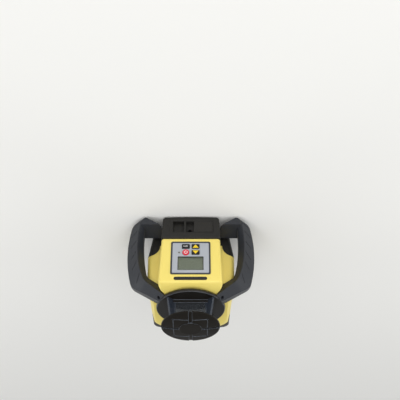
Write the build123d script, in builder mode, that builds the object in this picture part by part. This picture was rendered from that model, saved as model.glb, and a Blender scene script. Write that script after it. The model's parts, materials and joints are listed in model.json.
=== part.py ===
from build123d import *
import os
from math import cos, radians, sin, tan

# Rotary laser level, standing upright. Millimetres.
# The origin is the mouth of the tripod thread, +Z is the rotor axis, and the panel faces -Y.

# Fits
seam_gap = 0.4  # open line between neighbouring shells
slide_gap = 0.3  # moving piece beside its guide
pin_gap = 0.05  # radial running clearance of a pin
seat_gap = 0.1  # fixed piece in its pocket

# Body shell: outline at five heights, tapered between them
wall = 3.0
plate_thickness = 3.0
wing_front_y = -32.0
rear_y = 112.0
foot_front_half = 75.0
foot_rear_half = 70.0
waist_z = 64.5
waist_front_half = 85.0
waist_rear_half = 76.5
brow_front_half = 83.0
brow_rear_half = 76.0
slope_front_half = 78.0
slope_rear_half = 75.5
slope_front_y = -38.0
shoulder_z = 155.5
shoulder_half = 70.0
shoulder_front_y = -50.0
shoulder_rear_y = 87.0
slope_drop = 13.0
slope_rear_tuck = 2.0
brow_drop = 15.0
wing_corner = 9.0
rear_corner = 20.0
slope_front_corner = 20.0
slope_rear_corner = 16.0
shoulder_front_corner = 40.0
shoulder_rear_corner = 45.0

# Panel block at the front, with a sloped brow
block_half = 56.0
block_draft = 3.0
block_front_y = -74.0
block_bottom_z = 54.0
block_edge = 6.0
block_bend = 5.0
brow_fall = 6.5
brow_run = 20.0
block_tuck = 1.0  # black base inside the block's outline
valley_radius = 8.0
valley_drop = 26.0

# Parting lines between yellow and black shells
cheek_step = 5.0
cheek_drop = 25.0
cheek_round = 24.0
rear_split_y = 56.0
rear_crest_lift = 1.5

# Tripod thread, 5/8 inch 11 threads per inch, drawn at its minor diameter
thread_radius = 6.8
thread_depth = 18.0
insert_radius = 12.5
insert_height = 21.0
insert_boss = 4.0
plate_inset = 6.0
plate_screw_inset_x = 15.0
plate_screw_front_inset = 17.0
plate_screw_rear_inset = 18.0
plate_screw_head = 2.8
plate_screw_shank = 1.5
plate_screw_sink = 0.4
plate_screw_seat_z = 1.8

# Lay-down pads on the back
foot_spread_x = 50.0
foot_low_z = 26.0
foot_high_z = 106.0
foot_length = 34.0
foot_radius = 7.0
foot_height = 2.0

# Battery unit
door_proud = 2.0
door_thickness = 14.0
door_bottom_z = 1.5
door_bow = 1.6
door_top_gap = 1.0
door_clear = 0.6
door_taper = 1.5
door_corner = 6.0
door_edge = 1.5
bay_inset = 6.0
bay_cover = 4.0
bay_back_y = -17.0
bay_wall = 2.5
case_wall = 2.0
case_gap = 1.0
cell_column_y = 20.0
gasket_width = 2.0
gasket_squeeze = 1.2
cell_end_gap = 2.5
contact_spread_x = 15.0
contact_width = 4.0
contact_height = 9.0
cell_radius = 9.0
cell_length = 65.0

# Lock channel in the door
channel_low_z = 12.5
channel_high_z = 38.5
channel_left_x = -42.5
stop_rib_x = 9.5
stop_rib_width = 4.0
pull_right_x = 34.5
pull_depth = 8.0
channel_depth = 3.2
rail_depth = 1.6
rail_width = 1.0
slider_right_x = -5.5
slider_sink = 0.1
inset_margin = 1.5
inset_right_x = 41.5
inset_depth = 0.5
jack_x = 2.0
jack_z = 32.0
jack_radius = 4.5
jack_bore = 2.75
jack_pin = 1.0
jack_length = 7.0

# Panel, its heights measured down from the shoulder and up from the block's lower edge
panel_half = 37.2
badge_down = 9.9
badge_size = 6.8
panel_down = 5.2
panel_up = 6.6
panel_corner = 3.5
bezel_width = 3.0
bezel_height = 1.4
overlay_height = 0.8
lcd_half = 24.0
lcd_down = 9.2
lcd_glass = 2.0
lcd_border = 1.2
key_width = 14.4
key_height = 9.8
key_corner = 1.4
key_gap = 4.0
key_row_up = 11.3
lcd_row_gap = 8.9
key_row_pitch = 13.6
power_key_radius = 6.3
key_proud = 1.4
key_travel = 0.8
key_lip = 1.2
lamp_x = 21.6
lamp_radius = 1.4
badge_half = 30.5
badge_height = 0.8
board_thickness = 1.6
keypad_gap = 3.0
main_board_depth = 24.0
main_board_margin = 5.3
board_post = 2.6
board_post_inset = 2.0

# Handles, drawn on a plane that leans back: points of the outline are across and up that plane
grip_foot_y = -77.3
grip_lean = 11.7
grip_depth = 34.0
grip_floor_z = 1.0
grip_back_edge = 2.5
grip_tip = (88.0, 3.4)
grip_heel = (113.8, 16.5)
grip_bulge = (121.8, 70.0)
grip_elbow = (112.2, 141.0)
arm_outer_end = (40.0, 181.2)
arm_inner_end = (40.0, 148.7)
inner_elbow = (82.0, 124.0)
inner_bulge = (91.0, 70.0)
inner_heel = (90.0, 18.5)
arm_root = (48.0, 26.5)
grip_tip_round = 4.0
grip_heel_round = 16.0
grip_elbow_round = 22.0
inner_elbow_round = 12.0
inner_heel_round = 7.0
ramp_slope = 0.5
ridge_foot = (85.8, -2.5)
ridge_heading = 54.0
ridge_lead = 14.5
ridge_bends = ((24.0, 22.0), (130.0, 9.0), (240.0, 14.0), (110.0, 13.0))
ridge_rest = 6.0
ridge_elbow = (30.0, 31.0)
ridge_arm = 62.0
ridge_round = 1.0
outer_fall = 40.0
inner_fall = 46.0
outer_reach = 40.0
inner_reach = 20.0
groove_marks = ((0, 0.8), (1, 0.75), (2, 0.28), (2, 0.64), (2, 0.98), (3, 0.95))  # ridge bend, share of it
groove_width = 0.9
groove_depth = 0.9
groove_length = 18.0
groove_angle = 42.0
groove_start = 4.0
pip_radius = 0.9
arm_seat_gap = 1.0
arm_bare = 9.0
bare_lead = 10.4
bare_angle = 62.0
arm_seat_drop = 42.0
arm_seat_back_y = -10.0
handle_screw_radius = 2.6
handle_screw_margin = 4.0
handle_screw_angle = 32.0
handle_screw_height = 2.5

# Head
flange_radius = 65.0
flange_height = 7.0
flange_dish = 1.2
flange_foot = 2.0
flange_lip = 2.0
gasket_height = 1.0
gasket_inset = 6.0
gasket_hole_gap = 3.0
head_opening = 23.0
sill_half = 33.5
sill_inner_half = 26.0
sill_height = 6.0
pane_half = 27.0
pane_outer = 31.0
pane_thickness = 2.0
post_size = 4.6
fin_thickness = 4.0
fin_low_radius = 60.5
fin_high_radius = 52.5
cover_radius = 54.6
cover_rim = 3.2
cover_dome = 4.6
cover_headroom = 5.0
boss_radius = 20.7
boss_height = 0.6
boss_moat = 1.0
sight_groove = 6.5
sight_groove_depth = 1.4
cover_square_half = 31.3
cover_square_line = 0.8
cover_screw_radius = 1.7
cover_screw_height = 4.4
cover_edge = 1.0

# Levelling mechanism, its heights measured from the pivot
pivot_drop = 27.0
yoke_inner = 31.0
yoke_plate = 4.0
leg_x = 38.0
leg_thickness = 5.0
leg_width = 14.0
pin_radius = 2.5
ring_outer = 31.0
ring_inner = 25.0
ring_height = 12.0
ring_pin_inset = 1.0
tube_radius = 17.0
tube_bore = 10.0
tube_below = 50.0
tube_above = 10.0
spindle_radius = 8.0
spindle_bore = 5.0
spindle_gap = 0.6
collar_radius = 10.0
collar_height = 10.2
x_arm_reach = 48.0
x_arm_width = 10.0
x_arm_height = 8.0
y_arm_reach = 30.0
y_arm_width = 10.0
y_arm_below = 22.0
y_arm_height = 6.0
actuator_radius = 8.0
y_actuator_radius = 6.5
x_actuator_below = 18.0
x_actuator_length = 24.0
y_actuator_length = 8.0
y_actuator_roof = 1.0
plunger_radius = 1.6
x_plunger_gap = 0.5
y_plunger_gap = 0.7
column_gap = 0.5
column_width = 12.0
shelf_drop = 2.0
tube_web = 1.4
tube_flange = 2.0
actuator_flange = 1.5
x_bore_depth = 18.0
x_plunger_length = 24.5
y_plunger_length = 11.3
sensor_plate = 3.0
vial_length = 20.0
vial_offset = 9.0
vial_radius = 2.5
laser_length = 38.0
lens_height = 3.0

# Rotor
bearing_radius = 13.0
bearing_height = 5.0
hub_wall = 3.0
hub_flange = 1.4
cup_lift = 3.2
cup_floor = 2.5
rotor_radius = 18.0
rotor_wall = 2.0
prism_half = 10.5
prism_gap = 1.5
beam_window_half = 7.0
stator_radius = 22.0
stator_height = 5.0
stator_slots = 9
magnet_gap = 0.6
magnet_radius = 21.0
magnet_height = 3.0
encoder_radius = 24.0
encoder_thickness = 0.8

# Worked out from the sizes above
slope_z = shoulder_z - slope_drop
brow_z = slope_z - brow_drop
slope_rear_y = rear_y - slope_rear_tuck
rear_crest_z = slope_z + rear_crest_lift
valley_top_z = shoulder_z - valley_drop
cheek_inner_x = block_half + cheek_step
block_top_half = block_half + block_draft
door_front_y = block_front_y - door_proud
door_back_y = door_front_y + door_thickness
door_low_half = block_half - door_taper
door_high_half = block_half + door_taper / 2
bay_half = block_half - bay_inset
bay_floor_z = plate_thickness + wall + case_gap
bay_roof_z = block_bottom_z - bay_cover
bay_mouth_y = door_back_y + gasket_squeeze + slide_gap
cell_left_x = case_gap + case_wall + cell_end_gap - bay_half
badge_high_z = shoulder_z - badge_down
badge_low_z = badge_high_z - badge_size
panel_high_z = badge_low_z - panel_down
panel_low_z = block_bottom_z + panel_up
panel_height = panel_high_z - panel_low_z
panel_mid_z = (panel_low_z + panel_high_z) / 2
key_row_low_z = panel_low_z + key_row_up
key_row_high_z = key_row_low_z + key_row_pitch
lcd_low_z = key_row_high_z + lcd_row_gap
lcd_high_z = panel_high_z - lcd_down
lcd_height = lcd_high_z - lcd_low_z
lcd_mid_z = (lcd_low_z + lcd_high_z) / 2
key_column_x = (key_width + key_gap) / 2
keypad_front_y = block_front_y + wall + keypad_gap
main_board_y = block_front_y + main_board_depth
main_board_half = panel_half + main_board_margin
arm_seat_x = main_board_half + arm_seat_gap
arm_seat_z = shoulder_z - arm_seat_drop
arm_rise = (arm_root[1] - inner_heel[1]) / (arm_root[1] - grip_tip[1])
loop_root = (arm_root[0] + (grip_tip[0] - arm_root[0]) * arm_rise, inner_heel[1])
handle_screw_x = (flange_radius + handle_screw_margin) * cos(radians(handle_screw_angle))
handle_screw_y = -(flange_radius + handle_screw_margin) * sin(radians(handle_screw_angle))
head_bottom_z = shoulder_z + gasket_height
flange_top_z = head_bottom_z + flange_height
dish_z = flange_top_z - flange_dish
sill_top_z = dish_z + sill_height
pivot_z = shoulder_z - wall - pivot_drop
tube_bottom_z = pivot_z - tube_below
tube_top_z = pivot_z + tube_above
collar_top_z = tube_top_z + collar_height
y_arm_top_z = pivot_z - y_arm_below
x_actuator_top_z = pivot_z - x_actuator_below
x_actuator_bottom_z = x_actuator_top_z - x_actuator_length
yoke_outer = leg_x + leg_thickness
ring_pin_end = ring_outer - ring_pin_inset
column_back_y = x_arm_reach + actuator_radius + actuator_flange + column_gap + leg_thickness
cup_floor_z = dish_z + cup_lift
spindle_top_z = cup_floor_z - spindle_gap
rotor_top_z = cup_floor_z + cup_floor + 2 * prism_half + prism_gap + rotor_wall
cover_bottom_z = rotor_top_z + cover_headroom
window_height = cover_bottom_z - sill_top_z
reach = 2 * (rear_y - door_front_y)

os.makedirs("parts", exist_ok=True)


def front_plane(y):
    """Plane that faces the front at the given depth, with X across and Z up."""
    return Plane.XZ.offset(-y)


def body_form(grow, bottom_z, top_z):
    """Tapered body between two heights, with every side moved out by grow."""
    stations = [
        (bottom_z, foot_front_half, foot_rear_half, wing_front_y, rear_y, wing_corner, rear_corner),
        (waist_z, waist_front_half, waist_rear_half, wing_front_y, rear_y, wing_corner, rear_corner),
        (brow_z, brow_front_half, brow_rear_half, wing_front_y, rear_y, wing_corner, rear_corner),
        (slope_z, slope_front_half, slope_rear_half, slope_front_y, slope_rear_y,
         slope_front_corner, slope_rear_corner),
        (top_z, shoulder_half, shoulder_half, shoulder_front_y, shoulder_rear_y,
         shoulder_front_corner, shoulder_rear_corner),
    ]
    with BuildPart() as form:
        for z, front_half, rear_half, front, rear, front_round, rear_round in stations:
            with BuildSketch(Plane.XY.offset(z)) as station:
                with BuildLine():
                    Polyline(
                        (-front_half - grow, front - grow),
                        (front_half + grow, front - grow),
                        (rear_half + grow, rear + grow),
                        (-rear_half - grow, rear + grow),
                        close=True,
                    )
                make_face()
                fillet(station.vertices().group_by(Axis.Y)[0], front_round + grow)
                fillet(station.vertices().group_by(Axis.Y)[-1], rear_round + grow)
        loft(ruled=True)
    return form.part


def lower_form(lift):
    """Everything below the parting line of the black base, raised by lift."""
    with BuildPart() as form:
        with BuildSketch(Plane.XZ) as outline:
            with BuildLine():
                Polyline(
                    (-reach, -reach),
                    (reach, -reach),
                    (reach, waist_z + lift),
                    (cheek_inner_x, waist_z + lift),
                    (cheek_inner_x, waist_z - cheek_drop + lift),
                    (block_half + block_tuck, waist_z - cheek_drop + lift),
                    (block_half + block_tuck, block_bottom_z - seam_gap + lift),
                    (-block_half - block_tuck, block_bottom_z - seam_gap + lift),
                    (-block_half - block_tuck, waist_z - cheek_drop + lift),
                    (-cheek_inner_x, waist_z - cheek_drop + lift),
                    (-cheek_inner_x, waist_z + lift),
                    (-reach, waist_z + lift),
                    close=True,
                )
            make_face()
            cheek_tops = outline.vertices().group_by(Axis.Y)[-1].sort_by(lambda corner: abs(corner.X))[:2]
            fillet(cheek_tops, cheek_round)
        extrude(amount=reach, both=True)
        with BuildSketch(front_plane(rear_split_y)):
            with Locations((0, waist_z + lift - reach / 2)):
                Rectangle(2 * reach, reach)
        extrude(amount=-reach)
    return form.part


def rear_form(grow):
    """Everything behind and below the parting line of the black rear cover, grown by grow."""
    crest_rise = (reach - rear_split_y) * tan(radians(grip_lean))
    with BuildPart() as form:
        with BuildSketch(Plane.YZ):
            with BuildLine():
                Polyline(
                    (rear_split_y - grow, -reach),
                    (reach, -reach),
                    (reach, rear_crest_z + crest_rise + grow),
                    (rear_split_y - grow, rear_crest_z + grow),
                    close=True,
                )
            make_face()
        extrude(amount=reach, both=True)
    return form.part


def block_form(shrink, bottom_z):
    """Panel block with rounded upright edges and a sloped brow, with its walls moved in by shrink."""
    front = block_front_y + shrink
    top = shoulder_z - shrink
    with BuildPart() as form:
        with BuildSketch(Plane.YZ) as side_view:
            with BuildLine():
                Polyline(
                    (front, bottom_z),
                    (block_back_y, bottom_z),
                    (block_back_y, top),
                    (front + brow_run, top),
                    (front, top - brow_fall),
                    close=True,
                )
            make_face()
            fillet(side_view.vertices().sort_by(Axis.X)[:2].sort_by(Axis.Y)[-1], block_bend)
        extrude(amount=block_top_half, both=True)
        with BuildSketch(front_plane(block_back_y)):
            with BuildLine():
                Polyline(
                    (shrink - block_half, block_bottom_z),
                    (block_half - shrink, block_bottom_z),
                    (block_top_half - shrink, shoulder_z),
                    (shrink - block_top_half, shoulder_z),
                    close=True,
                )
            make_face()
        extrude(amount=block_back_y - block_front_y, mode=Mode.INTERSECT)
        upright = form.faces().sort_by(Axis.Y)[0].edges().sort_by(Axis.X)
        fillet([upright[0], upright[-1]], block_edge - shrink / 2)
    return form.part


def key_stations():
    """Centres of the three oblong panel keys."""
    return [
        (key_column_x, key_row_low_z),
        (-key_column_x, key_row_low_z),
        (-key_column_x, key_row_high_z),
    ]


def plate_screw_stations():
    """Centres of the four screws of the bottom plate."""
    front = (foot_front_half - plate_screw_inset_x, wing_front_y + plate_screw_front_inset)
    rear = (foot_rear_half - plate_screw_inset_x, rear_y - plate_screw_rear_inset)
    return [(side * x, y) for side in (-1, 1) for x, y in (front, rear)]


def handle_outline(with_loop, grow):
    """Face of the handle on its leaning plane, with or without the hand's opening, grown by grow."""
    with BuildSketch(handle_plane) as outline:
        with BuildLine():
            foot = loop_root if with_loop else arm_root
            Line(foot, grip_tip)
            Line(grip_tip, grip_heel)
            ThreePointArc(grip_heel, grip_bulge, grip_elbow)
            Line(grip_elbow, arm_outer_end)
            Line(arm_outer_end, arm_inner_end)
            if with_loop:
                Line(arm_inner_end, inner_elbow)
                ThreePointArc(inner_elbow, inner_bulge, inner_heel)
                Line(inner_heel, foot)
            else:
                Line(arm_inner_end, foot)
        make_face()
        rounds = [(grip_tip, grip_tip_round), (grip_heel, grip_heel_round), (grip_elbow, grip_elbow_round)]
        if with_loop:
            rounds += [(inner_elbow, inner_elbow_round), (inner_heel, inner_heel_round)]
        for point, radius in rounds:
            fillet(outline.vertices().sort_by_distance(point)[0], radius)
        if grow:
            offset(amount=grow)
    return outline.sketch


def ridge_cutter(slopes, lift):
    """Material in front of the ridge's flanks, as (reach, slope) pairs, moved to the front by lift."""
    across = (lead % 0).cross(toward_front)
    with BuildPart() as cutter:
        with BuildSketch(Plane(origin=lead @ 0, x_dir=across, z_dir=lead % 0)):
            for flank_reach, slope in slopes:
                with BuildLine():
                    Polyline(
                        (0, 0),
                        (flank_reach, abs(flank_reach) * tan(radians(slope))),
                        (flank_reach, -grip_depth),
                        (0, -grip_depth),
                        close=True,
                    )
                make_face()
        sweep(path=ridge.line)
    return cutter.part.moved(Location(toward_front * lift))


def handle_form(grow):
    """Handle on its leaning plane: ridged grip, elbow and arms, with its sides moved out by grow."""
    outer_flank = (outer_reach, outer_fall)
    inner_flank = (-inner_reach, inner_fall)
    with BuildPart() as ramp:
        with BuildSketch(handle_side):
            with BuildLine():
                Polyline(
                    (grip_depth, -reach),
                    (-2 * grip_depth, -reach),
                    (-2 * grip_depth, inner_heel[1] + 2 * grip_depth * ramp_slope),
                    (grip_depth, inner_heel[1] - grip_depth * ramp_slope),
                    close=True,
                )
            make_face()
        extrude(amount=-reach)
    with BuildPart() as lower_arm:
        extrude(handle_outline(False, grow), amount=-grip_depth)
        add(ramp.part, mode=Mode.INTERSECT)
        add(ridge_cutter([outer_flank], grow), mode=Mode.SUBTRACT)
    with BuildPart() as form:
        extrude(handle_outline(True, grow), amount=-grip_depth)
        add(ridge_cutter([outer_flank, inner_flank], grow), mode=Mode.SUBTRACT)
        add(lower_arm.part)
    return form.part


# Ridge of the handle, from below its tip round the grip to the upper arm
handle_plane = Plane(
    origin=(0, grip_foot_y, 0),
    x_dir=(1, 0, 0),
    z_dir=(0, -cos(radians(grip_lean)), sin(radians(grip_lean))),
)
handle_side = Plane(origin=handle_plane.origin, x_dir=handle_plane.z_dir, z_dir=(-1, 0, 0))
toward_front = handle_plane.z_dir
with BuildLine(handle_plane) as ridge:
    lead = PolarLine(ridge_foot, ridge_lead, ridge_heading)
    bends = []
    last = lead
    for radius, turn in ridge_bends:
        last = JernArc(last @ 1, last % 1, radius, turn)
        bends.append(last)
    rest = Line(last @ 1, last @ 1 + (last % 1) * ridge_rest)
    elbow = JernArc(rest @ 1, rest % 1, *ridge_elbow)
    arm = Line(elbow @ 1, elbow @ 1 + (elbow % 1) * ridge_arm)

# Body shell, cut into its three mouldings below
floor_z = plate_thickness + wall
block_back_y = wing_front_y + 2 * wall
outer_body = body_form(0, plate_thickness, shoulder_z)
inner_body = body_form(-wall, floor_z, shoulder_z - wall)

# Whole outer form of body and panel block
with BuildPart() as solid_body:
    add(outer_body)
    add(block_form(0, block_bottom_z))

# Pocket for an upper arm, which stops under the rim of the head
with BuildPart() as arm_pocket:
    add(handle_form(seat_gap))
    with BuildSketch(Plane.XY.offset(arm_seat_z)):
        Circle(flange_radius)
    extrude(amount=reach, mode=Mode.SUBTRACT)

# Corner of the block that is cut away to bare the flank of an upper arm
bare_side = toward_front.cross(arm % 0)
bare_depth = arm_bare * tan(radians(inner_fall))
bare_start = arm @ 0 + bare_side * arm_bare - toward_front * bare_depth
bare_heading = (-cos(radians(bare_angle)), sin(radians(bare_angle)), 0)
bare_corner = (block_top_half, block_front_y + bare_lead, arm_seat_z)
with BuildPart() as bared_corner:
    with BuildSketch(Plane(bare_start, x_dir=arm % 0, z_dir=toward_front)):
        with Locations((ridge_arm / 2, -grip_depth / 2)):
            Rectangle(ridge_arm, grip_depth)
    extrude(amount=2 * grip_depth)
    with BuildSketch(Plane(bare_corner, x_dir=bare_heading, z_dir=(0, 0, 1))):
        with Locations((0, -reach / 2)):
            Rectangle(2 * reach, reach)
    extrude(amount=reach, mode=Mode.INTERSECT)
    with BuildSketch(Plane.XY.offset(arm_seat_z)):
        Circle(flange_radius - flange_foot)
    extrude(amount=reach, mode=Mode.SUBTRACT)

# Solid corners of the shoulder, where the upper arms are let in
with BuildPart() as shoulder_fill:
    seat_mid_x = (arm_seat_x + brow_front_half) / 2
    with BuildSketch(front_plane(arm_seat_back_y)):
        for side in (-1, 1):
            with Locations((side * seat_mid_x, (arm_seat_z + shoulder_z) / 2)):
                Rectangle(brow_front_half - arm_seat_x, shoulder_z - arm_seat_z)
    extrude(amount=arm_seat_back_y - block_front_y - 2 * block_edge)
    add(solid_body.part, mode=Mode.INTERSECT)

# Yellow front housing
with BuildPart() as front_housing:
    add(solid_body.part)
    with BuildSketch(Plane.XY.offset(block_bottom_z)):
        for side in (-1, 1):
            with BuildLine():
                Line((side * block_half, wing_front_y), (side * block_half, wing_front_y - valley_radius))
                RadiusArc(
                    (side * block_half, wing_front_y - valley_radius),
                    (side * (block_half + valley_radius), wing_front_y),
                    side * valley_radius,
                )
                Polyline(
                    (side * (block_half + valley_radius), wing_front_y),
                    (side * (block_half + valley_radius), wing_front_y + wall),
                    (side * block_half, wing_front_y + wall),
                    (side * block_half, wing_front_y),
                )
            make_face()
    extrude(amount=valley_top_z - block_bottom_z)
    add(inner_body, mode=Mode.SUBTRACT)
    add(block_form(wall, block_bottom_z + wall), mode=Mode.SUBTRACT)
    add(shoulder_fill.part)
    add(arm_pocket.part, mode=Mode.SUBTRACT)
    add(arm_pocket.part.mirror(Plane.YZ), mode=Mode.SUBTRACT)
    add(bared_corner.part, mode=Mode.SUBTRACT)
    add(bared_corner.part.mirror(Plane.YZ), mode=Mode.SUBTRACT)
    add(lower_form(seam_gap), mode=Mode.SUBTRACT)
    add(rear_form(seam_gap), mode=Mode.SUBTRACT)
    with BuildSketch(Plane.XY.offset(shoulder_z)):
        Circle(yoke_inner)
    extrude(amount=-wall, mode=Mode.SUBTRACT)
    with BuildSketch(front_plane(block_front_y)):
        with Locations((0, lcd_mid_z)):
            Rectangle(2 * lcd_half, lcd_height)
        for x, z in key_stations():
            with Locations((x, z)):
                RectangleRounded(key_width + 2 * slide_gap, key_height + 2 * slide_gap, key_corner)
        with Locations((key_column_x, key_row_high_z)):
            Circle(power_key_radius + slide_gap)
        with Locations((lamp_x, key_row_high_z)):
            Circle(lamp_radius + seat_gap)
    extrude(amount=-wall, mode=Mode.SUBTRACT)
    with BuildSketch(front_plane(block_front_y + wall)):
        for x in (-1, 1):
            for z in (panel_low_z, panel_high_z):
                with Locations((x * (panel_half - board_post_inset), z)):
                    Circle(board_post)
    extrude(amount=-keypad_gap)
    with BuildSketch(front_plane(block_front_y + wall)):
        for x in (-1, 1):
            for z in (panel_low_z, panel_high_z):
                with Locations((x * (main_board_half - board_post_inset), z)):
                    Circle(board_post)
    extrude(amount=-(main_board_y - block_front_y - wall))
front_housing.part.label = "front_housing"
export_step(front_housing.part, "parts/front_housing.step")

# Black rear cover
with BuildPart() as rear_cover:
    add(outer_body)
    add(inner_body, mode=Mode.SUBTRACT)
    add(lower_form(seam_gap), mode=Mode.SUBTRACT)
    add(rear_form(0), mode=Mode.INTERSECT)
rear_cover.part.label = "rear_cover"
export_step(rear_cover.part, "parts/rear_cover.step")

# Black base housing with the battery bay and the tripod boss
with BuildPart() as base_housing:
    add(outer_body)
    add(inner_body, mode=Mode.SUBTRACT)
    add(lower_form(0), mode=Mode.INTERSECT)
    with BuildSketch(front_plane(bay_mouth_y)):
        with Locations((0, (plate_thickness + bay_roof_z + bay_wall) / 2)):
            Rectangle(2 * block_half, bay_roof_z + bay_wall - plate_thickness)
    extrude(amount=-(bay_back_y + bay_wall - bay_mouth_y))
    with BuildSketch(Plane.XY.offset(plate_thickness)):
        Circle(insert_radius + insert_boss)
    extrude(amount=insert_height + wall)
    with BuildSketch(front_plane(bay_mouth_y)):
        with Locations((0, (bay_floor_z + bay_roof_z) / 2)):
            Rectangle(2 * bay_half, bay_roof_z - bay_floor_z)
    extrude(amount=-(bay_back_y - bay_mouth_y), mode=Mode.SUBTRACT)
    with BuildSketch(Plane.XY.offset(plate_thickness)):
        Circle(insert_radius + seat_gap)
    extrude(amount=insert_height - plate_thickness + seat_gap, mode=Mode.SUBTRACT)
    with BuildSketch(Plane.XY.offset(plate_thickness)):
        for x, y in plate_screw_stations():
            with Locations((x, y)):
                Circle(plate_screw_shank)
    extrude(amount=wall, mode=Mode.SUBTRACT)
base_housing.part.label = "base_housing"
export_step(base_housing.part, "parts/base_housing.step")

# Bottom plate, with the hole for the tripod insert
with BuildPart() as base_plate:
    with BuildSketch() as plate_outline:
        with BuildLine():
            Polyline(
                (plate_inset - foot_front_half, wing_front_y + plate_inset),
                (foot_front_half - plate_inset, wing_front_y + plate_inset),
                (foot_rear_half - plate_inset, rear_y - plate_inset),
                (plate_inset - foot_rear_half, rear_y - plate_inset),
                close=True,
            )
        make_face()
        fillet(plate_outline.vertices().group_by(Axis.Y)[0], wing_corner)
        fillet(plate_outline.vertices().group_by(Axis.Y)[-1], rear_corner - plate_inset)
        Circle(insert_radius + seat_gap, mode=Mode.SUBTRACT)
    extrude(amount=plate_thickness)
    chamfer(base_plate.faces().sort_by(Axis.Z)[0].outer_wire().edges(), plate_thickness / 3)
    with BuildSketch():
        for x, y in plate_screw_stations():
            with Locations((x, y)):
                Circle(plate_screw_head + 2 * seat_gap)
    extrude(amount=plate_screw_seat_z, mode=Mode.SUBTRACT)
    with BuildSketch():
        for x, y in plate_screw_stations():
            with Locations((x, y)):
                Circle(plate_screw_shank + seat_gap)
    extrude(amount=plate_thickness, mode=Mode.SUBTRACT)
base_plate.part.label = "base_plate"
export_step(base_plate.part, "parts/base_plate.step")

# Threaded insert for the tripod screw
with BuildPart() as tripod_insert:
    Cylinder(insert_radius, insert_height, align=(Align.CENTER, Align.CENTER, Align.MIN))
    with BuildSketch():
        Circle(thread_radius)
    extrude(amount=thread_depth, mode=Mode.SUBTRACT)
tripod_insert.part.label = "tripod_insert"
export_step(tripod_insert.part, "parts/tripod_insert.step")

# Pads on the back, for laying the level down
with BuildPart() as rear_feet:
    with BuildSketch(front_plane(rear_y)):
        with GridLocations(2 * foot_spread_x, foot_high_z - foot_low_z, 2, 2):
            with Locations((0, (foot_high_z + foot_low_z) / 2)):
                SlotOverall(foot_length, 2 * foot_radius, rotation=90)
    extrude(amount=-foot_height)
rear_feet.part.label = "rear_feet"
export_step(rear_feet.part, "parts/rear_feet.step")


def edges_behind(blank, depth):
    """Edges of a handle at the given depth behind its leaning plane, with their low and high ends."""
    found = []
    for edge in blank.edges():
        places = [handle_plane.to_local_coords(edge @ share) for share in (0, 0.5, 1)]
        if all(abs(place.Z + depth) < pin_gap for place in places):
            heights = [place.Y for place in places]
            found.append((edge, min(heights), max(heights)))
    return found


def soften(blank):
    """Handle with its ridge rounded above the lower arm, and its back edges rounded all round."""
    with BuildPart() as grip:
        add(blank)
        loop_low = inner_heel[1] - seat_gap
        ridge_edges = [
            edge for edge, low, high in edges_behind(grip.part, 0) if low > loop_low and high - low > seat_gap
        ]
        fillet(ridge_edges, ridge_round)
        fillet([edge for edge, low, high in edges_behind(grip.part, grip_depth)], grip_back_edge)
    return grip.part


def cut_grooves(blank):
    """Handle with slanted hand grooves in its outer flank, each ending in a pip beside the ridge."""
    fall = radians(outer_fall)
    with BuildPart() as grip:
        add(blank)
        for bend, share in groove_marks:
            along = bends[bend] % share
            across = along.cross(toward_front)
            down_flank = across * cos(fall) - toward_front * sin(fall)
            flank_normal = across * sin(fall) + toward_front * cos(fall)
            slant = down_flank * cos(radians(groove_angle)) + along * sin(radians(groove_angle))
            start = bends[bend] @ share + down_flank * groove_start
            with BuildSketch(Plane(start + flank_normal * groove_depth, x_dir=slant, z_dir=flank_normal)):
                with Locations((groove_length / 2, 0)):
                    Rectangle(groove_length, groove_width)
                Circle(pip_radius)
            extrude(amount=-2 * groove_depth, mode=Mode.SUBTRACT)
    return grip.part


# Right handle, trimmed to the shells it sits against
with BuildPart() as right_handle:
    add(cut_grooves(soften(handle_form(0))))
    with BuildSketch(Plane.XY.offset(grip_floor_z)):
        Rectangle(2 * reach, 2 * reach)
    extrude(amount=-reach, mode=Mode.SUBTRACT)
    with BuildSketch(front_plane(0)):
        with Locations((0, block_bottom_z / 2)):
            Rectangle(2 * (block_half + seat_gap), 2 * block_bottom_z)
    extrude(amount=reach, mode=Mode.SUBTRACT)
    with BuildSketch(front_plane(door_back_y + door_clear)):
        with Locations((0, block_bottom_z / 2)):
            Rectangle(2 * (door_high_half + door_clear), 2 * block_bottom_z)
    extrude(amount=reach, mode=Mode.SUBTRACT)
    with BuildSketch(Plane.XY.offset(arm_seat_z)):
        Circle(flange_radius + seat_gap)
    extrude(amount=reach, mode=Mode.SUBTRACT)
    with BuildSketch(Plane.XY.offset(shoulder_z)):
        with Locations((handle_screw_x, handle_screw_y)):
            Circle(handle_screw_radius + seat_gap)
    extrude(amount=reach, mode=Mode.SUBTRACT)
right_handle.part.label = "right_handle"
export_step(right_handle.part, "parts/right_handle.step")

# Left handle, the right one mirrored
with BuildPart() as left_handle:
    add(right_handle.part.mirror(Plane.YZ))
left_handle.part.label = "left_handle"
export_step(left_handle.part, "parts/left_handle.step")

# Screws that hold the upper arms down on the shoulder
with BuildPart() as handle_screws:
    with BuildSketch(Plane.XY.offset(shoulder_z)):
        for side in (-1, 1):
            with Locations((side * handle_screw_x, handle_screw_y)):
                Circle(handle_screw_radius)
    extrude(amount=handle_screw_height)
    with BuildSketch(Plane.XY.offset(shoulder_z + handle_screw_height)):
        for side in (-1, 1):
            with Locations((side * handle_screw_x, handle_screw_y)):
                RegularPolygon(handle_screw_radius / 2, 6)
    extrude(amount=-handle_screw_height / 2, mode=Mode.SUBTRACT)
handle_screws.part.label = "handle_screws"
export_step(handle_screws.part, "parts/handle_screws.step")

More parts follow.
